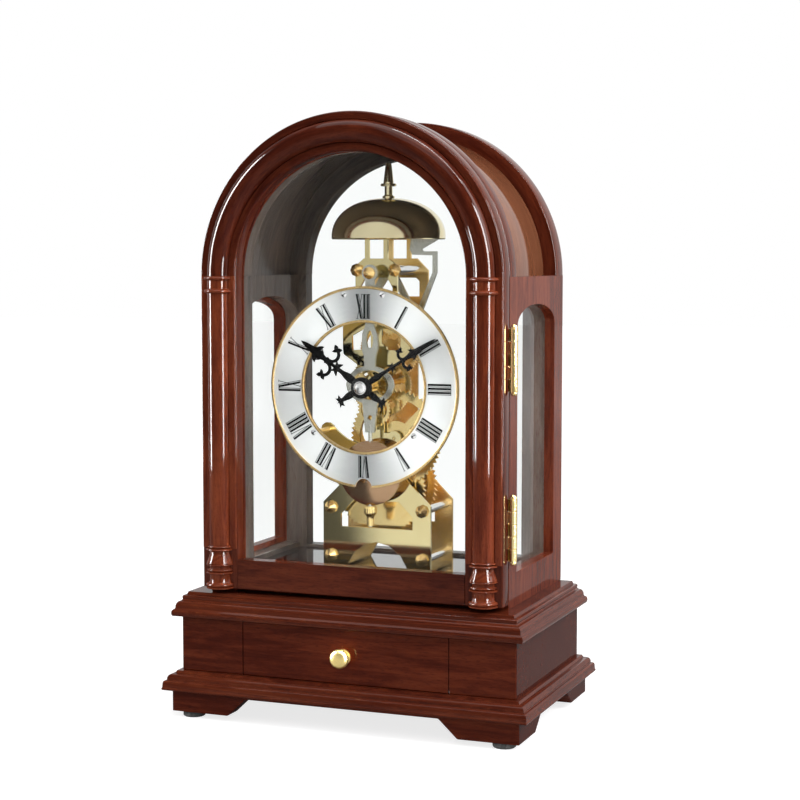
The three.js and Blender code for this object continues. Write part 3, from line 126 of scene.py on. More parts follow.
def arc(cx, cy, radius, start, stop, count=12, squash=1.0):
    # points on a circle from one angle to another, in degrees
    a = np.radians(np.linspace(start, stop, count))
    return coords(cx + radius * np.cos(a), cy + squash * radius * np.sin(a))


def softEdge(piece, width, weld=False):
    # a small rounding on every sharp edge, so that it catches the light
    if weld:
        piece.modifiers.new("closed", "WELD").merge_threshold = meshLook["weld"]
    soft = piece.modifiers.new("edge", "BEVEL")
    soft.width = width * mm
    soft.segments = meshLook["segments"]
    soft.limit_method = "ANGLE"
    soft.angle_limit = math.radians(meshLook["sharp"])


def makePiece(name, patches, body, material, replaces=(), crease=32.0, edge=0.0):
    # joins patches, closes seams, turns faces out and keeps edges sharper than the crease angle
    v = np.vstack([p["v"] for p in patches]) * mm
    g = np.vstack([p["g"] for p in patches]) * mm
    start = np.cumsum([0] + [len(p["v"]) for p in patches])
    faces = [[int(i + s) for i in f] for p, s in zip(patches, start) for f in p["f"]]
    mesh = bpy.data.meshes.new(name)
    mesh.from_pydata(v.tolist(), [], faces)
    follow = mesh.attributes.new("grain", "FLOAT_VECTOR", "POINT")
    follow.data.foreach_set("vector", g.astype(np.float32).ravel())
    work = bmesh.new()
    work.from_mesh(mesh)
    bmesh.ops.remove_doubles(work, verts=work.verts, dist=meshLook["seam"])
    bmesh.ops.dissolve_degenerate(work, edges=work.edges, dist=meshLook["sliver"])
    bmesh.ops.recalc_face_normals(work, faces=work.faces)
    work.to_mesh(mesh)
    work.free()
    mesh.shade_smooth()
    mesh.set_sharp_from_angle(angle=math.radians(crease))
    mesh.materials.append(material)
    piece = bpy.data.objects.new(name, mesh)
    scene.collection.objects.link(piece)
    if edge:
        softEdge(piece, edge)
    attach(piece, body)
    if replaces:
        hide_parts(*replaces)


def turnedPiece(name, node, line, axis, steps, body, material, ridged=None, level=None):
    # a line in shares of a solid's radius and length, turned about its middle or at another level; on y it
    # starts at the back
    lo, hi = corners(node)
    x, y, z = (lo + hi) / 2
    z = z if level is None else level
    wide, deep, tall = hi - lo
    start, run = ((x, hi[1], z), -deep) if axis == "y" else ((x, y, lo[2]), tall)
    ridges = (ridged["ridges"], ridged["ridgeShare"]) if ridged else ()
    patch = turned(line * [wide / 2, run], start, axis, steps, *ridges)
    makePiece(name, [patch], body, material, [node])


# Material tools
def newMaterial(name):
    mat = bpy.data.materials.new(name)
    mat.use_nodes = True
    tree = mat.node_tree
    return mat, tree, tree.nodes["Principled BSDF"]


def feed(node, inputs):
    # inputs holds values, or sockets to link
    for key, value in inputs.items():
        if isinstance(value, bpy.types.NodeSocket):
            node.id_data.links.new(value, node.inputs[key])
        else:
            node.inputs[key].default_value = value


def put(kind, inputs, tree=None, **settings):
    # adds a node with its inputs and settings, to the named tree or the one its first link comes from
    tree = tree or next(v.id_data for v in inputs.values() if isinstance(v, bpy.types.NodeSocket))
    node = tree.nodes.new("ShaderNode" + kind)
    for key, value in settings.items():
        setattr(node, key, value)
    feed(node, inputs)
    return node


def ramp(fac, places, colours):
    node = put("ValToRGB", {"Fac": fac})
    marks = node.color_ramp.elements
    while len(marks) < len(places):
        marks.new(0.5)
    for mark, place, colour in zip(marks, places, colours):
        mark.position = place
        mark.color = (*colour, 1)
    return node.outputs["Color"]


def noise(vector, scale, detail=3.0, roughness=0.55, distortion=0.0):
    # scale is one number, or one for each way
    scale = scale if isinstance(scale, tuple) else (scale, scale, scale)
    stretched = put("Mapping", {"Vector": vector, "Scale": scale}).outputs["Vector"]
    return put("TexNoise", {
        "Vector": stretched, "Scale": 1.0, "Detail": detail, "Roughness": roughness, "Distortion": distortion,
    }).outputs["Fac"]


def span(value, low, high, out0=0.0, out1=1.0):
    return put("MapRange", {
        "Value": value, "From Min": low, "From Max": high, "To Min": out0, "To Max": out1}).outputs["Result"]


def calc(operation, a, b=0.0):
    return put("Math", {0: a, 1: b}, operation=operation).outputs["Value"]


def times(a, b):
    return calc("MULTIPLY", a, b)


def minus(a, b):
    return calc("SUBTRACT", a, b)


def mixColour(fac, a, b):
    return put("Mix", {0: fac, 6: a, 7: b}, data_type="RGBA").outputs[2]


def objectSpot(tree):
    return put("TexCoord", {}, tree).outputs["Object"]


def axes(vector):
    return put("SeparateXYZ", {"Vector": vector}).outputs


def triple(*parts):
    return put("CombineXYZ", dict(enumerate(parts))).outputs["Vector"]


def lengthOf(vector):
    return put("VectorMath", {0: vector}, operation="LENGTH").outputs["Value"]


def bumps(height, strength, distance):
    inputs = {"Strength": strength, "Distance": distance, "Height": height}
    return put("Bump", inputs).outputs["Normal"]


noiseSpan = (0.3, 0.7)  # where most of a noise's values lie
roughSpan = (0.8, 1.25)  # how far a roughness wanders, in shares of it


def wander(value, roughness):
    return span(value, *noiseSpan, *(share * roughness for share in roughSpan))


def grainSpace(tree, along):
    # the grain's own coordinates: along, across and into the board
    if along == "grain":
        return put("Attribute", {}, tree, attribute_name="grain").outputs["Vector"]
    parts = axes(objectSpot(tree))
    return triple(*(parts[c] for c in {"x": "XYZ", "z": "ZXY"}[along]))


# noises as scale along, across and into the grain, detail, roughness and distortion
woodGrain = {
    "figure": ((26, 260, 260), 6, 0.66, 0.6), "clouds": ((5, 24, 24), 3, 0.55, 0.3),
    "pores": ((260, 2100, 2100), 2, 0.5), "shares": (0.62, 0.38), "holes": (0.54, 0.7), "holeTone": 0.5,
    "sideways": (0.6, 0.9), "relief": 0.0002, "coatIndex": 1.25}
# tones run from the darkest streaks to the brightest
woodLook = {
    "tones": ((0.024, 0.004, 0.0022), (0.066, 0.0112, 0.005), (0.12, 0.024, 0.0098), (0.18, 0.044, 0.017)),
    "places": (0.3, 0.45, 0.6, 0.74), "roughness": (0.34, 0.5), "coat": 0.75, "coatRoughness": 0.04,
    "bump": 0.1}
# a lighter copy of the mahogany for the door's columns: painted light, for the side light their round faces
# catch
columnLitLook = dict(woodLook, tones=(
    (0.04, 0.0065, 0.003), (0.13, 0.024, 0.0095), (0.225, 0.048, 0.018), (0.31, 0.08, 0.03)))
# a lighter copy of the mahogany for the side panels: painted light, for the strong light on the case's sides
sideLitLook = dict(woodLook, tones=(
    (0.04, 0.007, 0.0036), (0.105, 0.0185, 0.008), (0.18, 0.037, 0.015), (0.25, 0.064, 0.024)), coat=0.64)
# the base's faces that look sideways are painted darker: painted shade
baseLook = dict(woodLook, tones=(
    (0.03, 0.0046, 0.0024), (0.08, 0.0128, 0.0056), (0.142, 0.0275, 0.011), (0.21, 0.05, 0.019)),
    coat=0.42, paintedSideShade=0.75)
vaultLook = dict(woodLook, tones=(
    (0.105, 0.036, 0.017), (0.155, 0.056, 0.027), (0.205, 0.078, 0.038), (0.245, 0.102, 0.052)), coat=1.0)
liningLook = dict(woodLook, tones=(
    (0.042, 0.035, 0.031), (0.078, 0.065, 0.057), (0.11, 0.087, 0.075), (0.14, 0.102, 0.084)),
    coat=0.9, bump=0.03)
trayLook = dict(woodLook, tones=(
    (0.05, 0.022, 0.011), (0.11, 0.05, 0.025), (0.17, 0.085, 0.045), (0.22, 0.12, 0.065)),
    coat=0.0, roughness=(0.55, 0.75))


def lacqueredWood(name, along, look, insideReach=0.0, insideFront=-1000.0, insideBack=1000.0):
    # long streaks of figure over slow clouds, short dark pores, under clear gloss lacquer; inside the case,
    # nearer the middle than insideReach (round the arch above the spring line), it takes the lining's greyer
    # tones
    mat, tree, shade = newMaterial(name)
    g, dark = woodGrain, (*look["tones"][0], 1)
    where = grainSpace(tree, along)
    figure, clouds, pores = (noise(where, *g[k]) for k in ("figure", "clouds", "pores"))
    tone = calc("ADD", *(times(*pair) for pair in zip((figure, clouds), g["shares"])))
    colour = ramp(tone, look["places"], look["tones"])
    if insideReach:
        parts = axes(objectSpot(tree))
        rise = calc("MAXIMUM", minus(parts["Z"], spring * mm), 0.0)
        near = calc("LESS_THAN", lengthOf(triple(parts["X"], rise)), insideReach * mm)
        ahead = calc("LESS_THAN", parts["Y"], insideBack * mm)
        behind = calc("GREATER_THAN", parts["Y"], insideFront * mm)
        inside = times(near, times(ahead, behind))
        colour = mixColour(inside, colour, ramp(tone, look["places"], liningLook["tones"]))
    if "paintedSideShade" in look:  # faces that look sideways are painted darker, as painted shade
        aside = axes(put("NewGeometry", {}, tree).outputs["True Normal"])["X"]
        sideShade = span(calc("ABSOLUTE", aside), *g["sideways"], 0.0, look["paintedSideShade"])
        colour = mixColour(sideShade, colour, dark)
    holes = span(pores, *g["holes"])
    feed(shade, {
        "Base Color": mixColour(times(holes, g["holeTone"]), colour, dark),
        "Roughness": span(figure, *noiseSpan, *look["roughness"]), "Specular IOR Level": 0.0,
        "Normal": bumps(minus(figure, holes), look["bump"], g["relief"]),
        "Coat Weight": look["coat"], "Coat Roughness": look["coatRoughness"], "Coat IOR": g["coatIndex"]})
    return mat


metalLook = {
    "tarnish": (34, 3, 0.5, 0.3), "marks": (4000, 3, 0.55), "places": (0.2, 0.77), "relief": (0.006, 0.0001)}


def metal(name, pale, deep, roughness):
    # slow tarnish between two tones, with fine polishing marks in the roughness and the surface
    mat, tree, shade = newMaterial(name)
    spot = objectSpot(tree)
    tarnish, marks = (noise(spot, *metalLook[k]) for k in ("tarnish", "marks"))
    feed(shade, {
        "Base Color": ramp(tarnish, metalLook["places"], (deep, pale)), "Metallic": 1.0,
        "Roughness": wander(marks, roughness), "Normal": bumps(marks, *metalLook["relief"])})
    return mat


paneLook = {"waves": (18, 2), "relief": (0.01, 0.0005), "tint": (0.985, 0.995, 0.99, 1), "index": 1.15}


def clearPane(name):
    # clear glass with faint waves; rays from lamps pass straight through
    mat, tree, shade = newMaterial(name)
    waves = noise(objectSpot(tree), *paneLook["waves"])
    feed(shade, {
        "Base Color": paneLook["tint"], "Roughness": 0.0, "IOR": paneLook["index"],
        "Transmission Weight": 1.0, "Normal": bumps(waves, *paneLook["relief"])})
    lamp = put("LightPath", {}, tree).outputs["Is Shadow Ray"]
    clear = put("BsdfTransparent", {}, tree).outputs["BSDF"]
    mixed = put("MixShader", {0: lamp, 1: shade.outputs["BSDF"], 2: clear}).outputs["Shader"]
    feed(tree.nodes["Material Output"], {"Surface": mixed})
    return mat


speckle = {"smear": (40, 3), "places": (0.35, 0.7), "relief": 0.0001, "coatRoughness": 0.04}


def speckled(name, low, high, roughness, size=900.0, bump=0.2, coat=0.0, gloss=0.3):
    # a fine speckle between two tones, with the same speckle in the surface
    mat, tree, shade = newMaterial(name)
    spot = objectSpot(tree)
    grit = noise(spot, size, 4, 0.6)
    smear = noise(spot, *speckle["smear"])
    feed(shade, {
        "Base Color": ramp(grit, speckle["places"], (low, high)),
        "Roughness": wander(smear, roughness), "Normal": bumps(grit, bump, speckle["relief"]),
        "Specular IOR Level": gloss, "Coat Weight": coat, "Coat Roughness": speckle["coatRoughness"]})
    return mat


# painted shade in fans, for the sheen of the brushed silver, as the way they face in degrees from the twelve,
# how narrow and how deep they are; dark is the painted shade they fall towards
dialShade = {
    "shadeFans": ((0, 9.0, 0.74), (180, 9.0, 0.7), (262, 6.0, 0.28), (64, 14.0, 0.3)), "brushing": 0.1,
    "dark": (0.04, 0.042, 0.042, 1), "bright": (0.73, 0.745, 0.745, 1), "back": (0.88, 0.66, 0.3, 1),
    "rings": (9000, 3, 0.6), "ringDrift": 0.0006, "relief": (0.06, 0.0001), "roughness": (0.28, 0.36),
    "gloss": 0.05}


def silveredDial(name, middleZ, backY):
    # satin silver brushed round the dial: fine rings, and fans of painted shade, for the brushing's sheen,
    # that fall off as a power of the cosine; behind backY the ring and its feet are bare brass
    mat, tree, shade = newMaterial(name)
    look = dialShade
    moved = put("Mapping", {"Vector": objectSpot(tree), "Location": (0, 0, -middleZ * mm)})
    parts = axes(moved.outputs["Vector"])
    radius = lengthOf(triple(parts["X"], 0.0, parts["Z"]))
    turn = calc("ARCTAN2", parts["X"], parts["Z"])
    lathe = triple(radius, times(turn, look["ringDrift"]))
    rings = noise(lathe, *look["rings"])
    tone = span(rings, *noiseSpan, 1.0 - look["brushing"], 1.0)
    # painted shade: each fan darkens the silver's tone, for the sheen the brushing shows
    for way, narrow, depth in look["shadeFans"]:
        facing = calc("COSINE", minus(turn, math.radians(way)))
        fanShade = calc("POWER", calc("MAXIMUM", facing, 0.0), narrow)
        tone = minus(tone, times(fanShade, depth))
    silvered = mixColour(tone, look["dark"], look["bright"])
    bare = calc("GREATER_THAN", parts["Y"], backY * mm)
    feed(shade, {
        "Base Color": mixColour(bare, silvered, look["back"]), "Metallic": bare,
        "Roughness": span(rings, *noiseSpan, *look["roughness"]), "Specular IOR Level": look["gloss"],
        "Normal": bumps(rings, *look["relief"])})
    return mat


# Planes and radii that pieces share; radii are measured from the middle of the arch at the spring line
doorLo, doorHi = corners("door_frame")
frontLo, frontHi = corners("front_arch_frame")
rearLo, rearHi = corners("rear_arch_frame")
vaultLo, vaultHi = corners("vault_panel")
panelLo, panelHi = corners("right_side_panel")
sideInner = panelLo[0]
half = frontHi[0]
spring = frontHi[2] - half
deckTop = frontLo[2]
frontFrame = {"inner": 72.0, "sill": 17.0, "edge": 0.8, "jambEdge": 0.5}
rearFrame = {"inner": 72.5, "sill": 15.0, "edge": 0.8, "jambEdge": 0.4, "paneSeat": 10.1, "paneLap": 3.4}
vault = {"wall": 3.0, "lining": 1.4, "edge": 0.05}
liningInset = {"margin": 1.0, "reveal": 0.3}  # how far in from an edge the lining's greyer tones begin
woodCurve = lacqueredWood("mahogany_follow", "grain", woodLook)
woodColumn = lacqueredWood("mahogany_column", "grain", columnLitLook)
woodX = lacqueredWood("mahogany_across", "x", baseLook)
woodZ = lacqueredWood(
    "mahogany_upright", "z", sideLitLook, (sideInner + half) / 2 + liningInset["margin"],
    panelLo[1] + liningInset["margin"], panelHi[1] - liningInset["margin"])
woodFront = lacqueredWood(
    "mahogany_front_frame", "grain", woodLook, frontFrame["inner"] + liningInset["reveal"],
    frontLo[1] + liningInset["margin"])
woodRear = lacqueredWood(
    "mahogany_rear_frame", "grain", woodLook, vaultHi[0] - liningInset["margin"],
    insideBack=rearHi[1] - liningInset["margin"])
woodVault = lacqueredWood("vault_veneer", "grain", vaultLook)
woodInside = lacqueredWood("shaded_lining", "grain", liningLook)
woodTray = lacqueredWood("raw_tray_wood", "x", trayLook)
paleBrass = metal("pale_brass", (0.8, 0.7, 0.39), (0.7, 0.58, 0.29), 0.075)
goldBrass = metal("gold_brass", (0.93, 0.74, 0.36), (0.8, 0.58, 0.22), 0.16)
warmBrass = metal("warm_brass", (0.88, 0.64, 0.28), (0.72, 0.47, 0.18), 0.22)
rimBrass = metal("rim_brass", (0.52, 0.37, 0.17), (0.42, 0.29, 0.12), 0.26)
bellBrass = metal("bell_brass", (0.92, 0.82, 0.54), (0.84, 0.72, 0.44), 0.13)
bobBrass = metal("bob_brass", (0.43, 0.275, 0.16), (0.36, 0.215, 0.12), 0.16)
knobBrass = metal("knob_brass", (0.95, 0.77, 0.32), (0.86, 0.65, 0.23), 0.3)
softSteel = metal("soft_steel", (0.5, 0.5, 0.45), (0.41, 0.41, 0.36), 0.26)
brightSteel = metal("bright_steel", (0.84, 0.84, 0.84), (0.7, 0.7, 0.7), 0.15)
handBlack = speckled(
    "hand_lacquer", (0.0015, 0.0015, 0.0015), (0.004, 0.004, 0.004), 0.5, bump=0.05, gloss=0.03)
# black ink for the numerals, also used as painted shade in the screw slots
inkAndSlotShade = speckled("numeral_ink_and_slot_shade", (0.003, 0.003, 0.0035), (0.009, 0.009, 0.009), 0.6, bump=0.1, gloss=0.02)
padRubber = speckled("pad_rubber", (0.018, 0.017, 0.016), (0.05, 0.048, 0.045), 0.75)
mirrorBlack = speckled(
    "mirror_black", (0.01, 0.01, 0.011), (0.017, 0.016, 0.017), 0.03, size=200.0, bump=0.0005, coat=0.5)
glass = clearPane("clear_pane")
print("materials made")


def dress(material, *names, edge=0.0):
    # a better finish, and a softened edge, for solids whose shape is right
    for name in names:
        piece = cad[name]
        piece.data.materials.clear()
        piece.data.materials.append(material)
        if edge:
            softEdge(piece, edge, weld=True)


dress(padRubber, *(f"foot_pad_{a}_{b}" for a in ("front", "rear") for b in ("left", "right")))
dress(woodZ, "left_side_panel", "right_side_panel", edge=0.7)
dress(woodX, "bracket_foot_frame", "base_carcase", "drawer_front", edge=0.6)
dress(woodTray, "drawer_tray", edge=0.5)
dress(glass, "door_glass", "rear_glass", "left_side_glass", "right_side_glass")
dress(goldBrass, *(f"{a}_hinge_{b}_leaf" for a in ("lower", "upper") for b in ("case", "door")), edge=0.15)
dress(paleBrass, "front_plate", edge=0.2)
dress(warmBrass, "back_plate", "bell_bracket", edge=0.2)
dress(goldBrass, "barrel", "centre_wheel", "hour_wheel", "minute_wheel", "escape_wheel", "second_wheel")
dress(warmBrass, "third_wheel", "strike_barrel", "pin_wheel")
dress(softSteel, "pendulum_rod", "hammer", "anchor", edge=0.15)
dress(softSteel, "barrel_arbor")
print("solids dressed")


# Base mouldings, each a line of inset and height in shares of the board's setback and thickness
baseBoard = {"setback": 7.0, "crease": 38}
deckBoard = {"setback": 7.8, "crease": 38}


def mouldedBoard(name, node, line, board):
    # the line carried round a rectangle, mitred at the corners, then a top and a bottom
    lo, hi = corners(node)
    inset, z = line[:, 0] * board["setback"], lo[2] + line[:, 1] * (hi[2] - lo[2])
    x, y = hi[0] - inset, hi[1] - inset
    walk = walkAlong(coords(inset, z))
    sides = []
    for (sx, sy), (ex, ey) in zip(square, square[1:] + square[:1]):
        run = np.stack([coords(sx * x, sy * y, z), coords(ex * x, ey * y, z)])
        along = run[..., 0] if sy == ey else run[..., 1]
        into = 0 * along + meshLook["boardShift"] * sx
        sides.append(gridPatch(run, grain=coords(along, 0 * along + walk, into)))
    for i in (0, -1):
        sides.append(ringCap(np.array([(sx * x[i], sy * y[i], z[i]) for sx, sy in square])))
    makePiece(name, sides, "case", woodCurve, [node], crease=board["crease"])


lowerLine = np.vstack([
    [[0.16, 0.0]], arc(0.075, 0.09, 0.075, 250, 110, 8), [[0.075, 0.4]],
    through([[0.075, 0.4], [0.12, 0.47], [0.24, 0.52], [0.34, 0.535]], 5),
    through([[0.36, 0.56], [0.37, 0.66], [0.48, 0.78], [0.7, 0.855], [0.9, 0.87]], 6),
    [[0.92, 0.9], [1.0, 1.0]]])
lowerLine[:, 0] -= lowerLine[:, 0].min()
mouldedBoard("base_moulding", "base_board", lowerLine, baseBoard)
deckLine = np.vstack([
    [[0.55, 0.0], [0.3, 0.02]], arc(0.1, 0.17, 0.1, 250, 110, 10, 1.3), [[0.2, 0.335]],
    through([[0.24, 0.38], [0.27, 0.5], [0.4, 0.61], [0.6, 0.66]], 6), [[0.66, 0.7]],
    arc(0.72, 0.78, 0.07, 235, 90, 8, 1.2), [[0.8, 0.875], [0.92, 0.89], [1.0, 1.0]]])
mouldedBoard("deck_moulding", "deck_board", deckLine, deckBoard)
print("base mouldings made")


# Case arches
def archSweep(section, bottom=None, steps=96, legRows=13):
    # a section of radius and depth carried up a straight leg, over the half circle and down the other leg
    a = np.linspace(np.pi, 0, steps)
    leg = np.array([]) if bottom is None else np.linspace(bottom - spring, 0, legRows)[:-1]
    cosA = np.concatenate([0 * leg - 1, np.cos(a), 0 * leg + 1])[:, None]
    sinA = np.concatenate([0 * leg, np.sin(a), 0 * leg])[:, None]
    drop = np.concatenate([leg, 0 * a, leg[::-1]])[:, None]
    r, y = section[None, :, 0], section[None, :, 1]
    points = coords(r * cosA, y + 0 * cosA, spring + r * sinA + drop)
    middle = section[:, 0].mean()
    travel = np.concatenate([leg, middle * (np.pi - a), middle * np.pi - leg[::-1]])[:, None]
    walk = walkAlong(section)[None, :]
    return tube(points, coords(travel + 0 * walk, walk + 0 * travel, 0 * walk + 0 * travel))


def cornered(r0, r1, y0, y1, edge, count=5):
    # a rectangle of radius and depth with its corners rounded off
    return np.vstack([
        arc(r0 + edge, y0 + edge, edge, 180, 270, count), arc(r1 - edge, y0 + edge, edge, 270, 360, count),
        arc(r1 - edge, y1 - edge, edge, 0, 90, count), arc(r0 + edge, y1 - edge, edge, 90, 180, count)])


def rebated(r0, y0, y1, edge, lap, seat, count=5):
    # the same out to the case's edge, with the inner rear corner cut away to seat a pane
    return np.vstack([
        cornered(r0, half, y0, y1, edge, count)[:3 * count], [[lap, y1], [lap, seat], [r0, seat]]])


def upright(x0, x1, y0, y1):
    # the same post on both sides of the case
    return [block((a, y0, deckTop), (b, y1, spring), 2) for a, b in ((-x1, -x0), (x0, x1))]


def crossRail(x, y0, y1, rise):
    return block((-x, y0, deckTop), (x, y1, deckTop + rise), 0)


n = frontFrame
makePiece("front_arch", archSweep(cornered(n["inner"], half, frontLo[1], frontHi[1], n["edge"])),
          "case", woodFront, ["front_arch_frame"])
makePiece("front_jambs", [
    *upright(n["inner"], sideInner, frontLo[1], frontHi[1]),
    crossRail(n["inner"], frontLo[1], frontHi[1], n["sill"])],
    "case", woodFront, edge=n["jambEdge"])
n = rearFrame
seat, lap = rearLo[1] + n["paneSeat"], n["inner"] + n["paneLap"]
makePiece("rear_arch", archSweep(rebated(n["inner"], rearLo[1], rearHi[1], n["edge"], lap, seat)),
          "case", woodRear, ["rear_arch_frame"])
makePiece("rear_jambs", [
    *upright(lap, sideInner, rearLo[1], rearHi[1]), *upright(n["inner"], lap, rearLo[1], seat),
    crossRail(lap, rearLo[1], rearHi[1], n["sill"] - n["paneLap"]),
    crossRail(n["inner"], rearLo[1], seat, n["sill"])], "case", woodRear, edge=n["jambEdge"])
floorSlab = {"rise": 10.2, "edge": 0.2}  # higher than the thin solid, as the picture's reflections show
floorLo, floorHi = corners("floor_plate")
makePiece("mirror_floor", [block(floorLo, floorHi + [0, 0, floorSlab["rise"]])],
          "case", mirrorBlack, ["floor_plate"], edge=floorSlab["edge"])
n = vault
vaultOut = vaultHi[0]
between = vaultOut - n["wall"] + n["lining"]  # the lining stops one edge short of the sheet
sheetSection = cornered(between, vaultOut, vaultLo[1], vaultHi[1], n["edge"])
liningSection = cornered(vaultOut - n["wall"], between - n["edge"], vaultLo[1], vaultHi[1], n["edge"])
makePiece("vault_sheet", archSweep(sheetSection), "case", woodVault, ["vault_panel"])
makePiece("vault_lining", archSweep(liningSection), "case", woodInside)
print("case arches made")


# Door: slab, half-round moulding over the arch, and turned columns under it
door = {"inner": 72.0, "rail": 17.5, "thick": 10.28, "edge": 0.9, "glassLap": 4.3, "rebate": 2.6}
moulding = {"middle": 83.5, "radius": 6.5, "proud": 6.2, "quirk": 0.4, "flat": 1.0, "margin": 0.5,
            "edge": 0.5, "sunk": 0.3, "crease": 40}
column = {"ring": 8.6, "foot": 26.0, "head": 10.2, "overlap": 2.0, "rows": 14, "crease": 42}
n = door
face, rear = doorHi[1] - n["thick"], doorHi[1]
seat, lap = rear - n["rebate"], n["inner"] + n["glassLap"]
bottom, railTop = doorLo[2], doorLo[2] + n["rail"]
makePiece("door_slab", archSweep(rebated(n["inner"], face, rear, n["edge"], lap, seat), bottom) + [
    block((-n["inner"], face, bottom), (n["inner"], seat, railTop), 0),
    block((-n["inner"], seat, bottom), (n["inner"], rear, railTop - n["glassLap"]), 0)],
    "door", woodCurve, ["door_frame"])

# from outside in: rounded flat, sharp quirk, half round, quirk and flat; radius and depth
n = moulding
outer, inner = half - n["margin"], door["inner"] + n["margin"]
level, sunk, e = face - n["flat"], face + n["sunk"], n["edge"]
a = np.linspace(0, np.pi, 30)
rise = n["proud"] - n["quirk"]
rope = coords(n["middle"] + n["radius"] * np.cos(a), face - n["quirk"] - rise * np.sin(a))
ledge = n["radius"] + n["quirk"]
section = np.vstack([
    [[outer, sunk]], arc(outer - e, level + e, e, 0, -90, 5), [[n["middle"] + ledge, level]], rope,
    [[n["middle"] - ledge, level]], arc(inner + e, level + e, e, 270, 180, 5), [[inner, sunk]]])
makePiece("door_arch", archSweep(section), "door", woodCurve, ["door_arch_moulding"],
          crease=n["crease"])


def ring(low, high, radius, deep, count=10):
    # one ring of a turning: its outline bulges from the deep radius to the full one
    a = np.radians(np.linspace(-90, 90, count))
    middle, tall = (low + high) / 2, (high - low) / 2
    return coords(deep + (radius - deep) * np.cos(a), middle + tall * np.sin(a))


def doorColumn(side):
    # the moulding's section lifted straight up, with a turned foot and a ringed head
    n, neck = column, moulding["radius"]
    z = np.linspace(bottom + n["foot"] - n["overlap"], spring, n["rows"])[:, None]
    x, y = section[None, :, 0] * side, section[None, :, 1]
    walk = walkAlong(section)[None, :]
    shift = meshLook["boardShift"] * side
    shaft = tube(coords(x + 0 * z, y + 0 * z, z + 0 * x),
                 coords(z + 0 * walk, walk + 0 * z + shift, 0 * walk + 0 * z))
    r = n["ring"]
    foot = np.vstack([
        [[0, 0], [r, 0], [r, 0.03], [r - 0.5, 0.035]], ring(0.035, 0.125, r, neck + 0.6),
        [[neck, 0.165], [neck, 0.32]], ring(0.335, 0.385, r - 0.1, neck + 0.3),
        ring(0.395, 0.455, r - 0.8, neck), [[neck, 0.465], [neck, 0.515]],
        ring(0.525, 0.58, r - 0.2, neck + 0.4),
        through([[r - 0.4, 0.585], [r - 0.8, 0.63], [r - 1.5, 0.7], [neck, 0.775]], 5),
        [[neck - 0.3, 0.79], [neck - 0.3, 0.86]], ring(0.87, 0.93, r - 0.1, neck + 0.2),
        ring(0.94, 0.99, r - 0.9, neck), [[0, 0.99]]])
    head = np.vstack([
        [[0, 0]], ring(0.0, 0.25, r, neck + 0.4), [[neck + 0.2, 0.27], [neck + 0.2, 0.74]],
        ring(0.76, 0.995, r, neck + 0.4), [[0, 0.995]]])
    place = np.array([side * moulding["middle"], face, 0])
    return shaft + [
        turned(foot * [1, n["foot"]], place + [0, 0, bottom], "z", 48),
        turned(head * [1, n["head"]], place + [0, 0, spring - n["head"]], "z", 48)]


for side, word in ((1, "right"), (-1, "left")):
    makePiece(f"{word}_column", doorColumn(side), "door", woodColumn, [f"door_{word}_column"],
              crease=column["crease"])
print("door made")


# Turned brass, each line in shares of radius and length
knobLine = np.vstack([
    through([[0, 1], [0.35, 0.985], [0.72, 0.93], [0.95, 0.8], [1, 0.66], [0.92, 0.54], [0.66, 0.45],
             [0.5, 0.38]]),
    [[0.5, 0.17], [0.62, 0.13], [0.8, 0.1], [0.8, 0.0], [0, 0]]])
turnedPiece("knob", "drawer_knob", knobLine, "y", 48, "drawer", knobBrass)

bell = {"wall": 1.6, "lip": 2.0, "bore": 2.3, "fullness": 0.86, "swing": 84, "chamfer": 0.5}
bellLo, bellHi = corners("bell")


def bellDome(radius, rise):
    # height goes as the sine of a swing and radius as a power of its cosine, for a full shoulder
    swing = np.radians(np.linspace(0, bell["swing"], 30))
    height = bellLo[2] + bell["lip"] + rise * np.sin(swing)
    return coords(radius * np.cos(swing) ** bell["fullness"], height)


n = bell
wide, low, top = bellHi[0], bellLo[2], bellHi[2]
rise = top - low - n["lip"]
bellLine = np.vstack([
    [[wide - n["chamfer"], low], [wide, low + n["chamfer"]]], bellDome(wide, rise),
    [[n["bore"], top], [n["bore"], top - n["wall"]]], bellDome(wide - n["wall"], rise - n["wall"])[::-1],
    [[wide - n["wall"], low], [wide - n["chamfer"], low]]])
makePiece("bell_dome", [turned(bellLine, (0, (bellLo[1] + bellHi[1]) / 2, 0), "z", 96)],
          "case", bellBrass, ["bell"])
finialLine = np.vstack([
    [[0, 0], [0.77, 0], [0.77, 0.05], [0.62, 0.065], [0.5, 0.09], [0.5, 0.325], [0.95, 0.335]],
    arc(0.9, 0.37, 0.1, -60, 60, 6, 0.28), [[0.95, 0.405], [0.62, 0.42]],
    through([[0.64, 0.44], [0.6, 0.52], [0.48, 0.76], [0.38, 0.93], [0.27, 0.985], [0, 1.0]], 6)])
turnedPiece("finial", "bell_finial", finialLine, "z", 40, "case", bellBrass)

bob = {"edge": 1.6, "fullness": 2.2}
bobLo, bobHi = corners("pendulum_bob")
bobHalf = (bobHi[1] - bobLo[1]) / 2
share = np.linspace(0, 1, 24)
crown = coords(bobHi[0] * share, bobHalf - (bobHalf - bob["edge"] / 2) * share ** bob["fullness"])
bobMiddle = (bobLo + bobHi) / 2 * [0, 1, 1]
makePiece("bob", [turned(np.vstack([crown * [1, -1], crown[::-1]]), bobMiddle, "y", 72)],
          "pendulum", bobBrass, ["pendulum_bob"])
ratingNut = {"bore": 0.4, "ridges": 20, "ridgeShare": 0.025}
bore = ratingNut["bore"]
nutLine = np.vstack([
    [[bore, 0], [0.56, 0], [0.56, 0.3]], through([[0.58, 0.44], [0.74, 0.53], [1.0, 0.66], [1.0, 0.92]], 5),
    [[0.87, 1.0], [bore, 1.0], [bore, 0]]])
turnedPiece(
    "regulator_nut", "rating_nut", nutLine, "z", 60, "bob_nut", goldBrass, ratingNut)

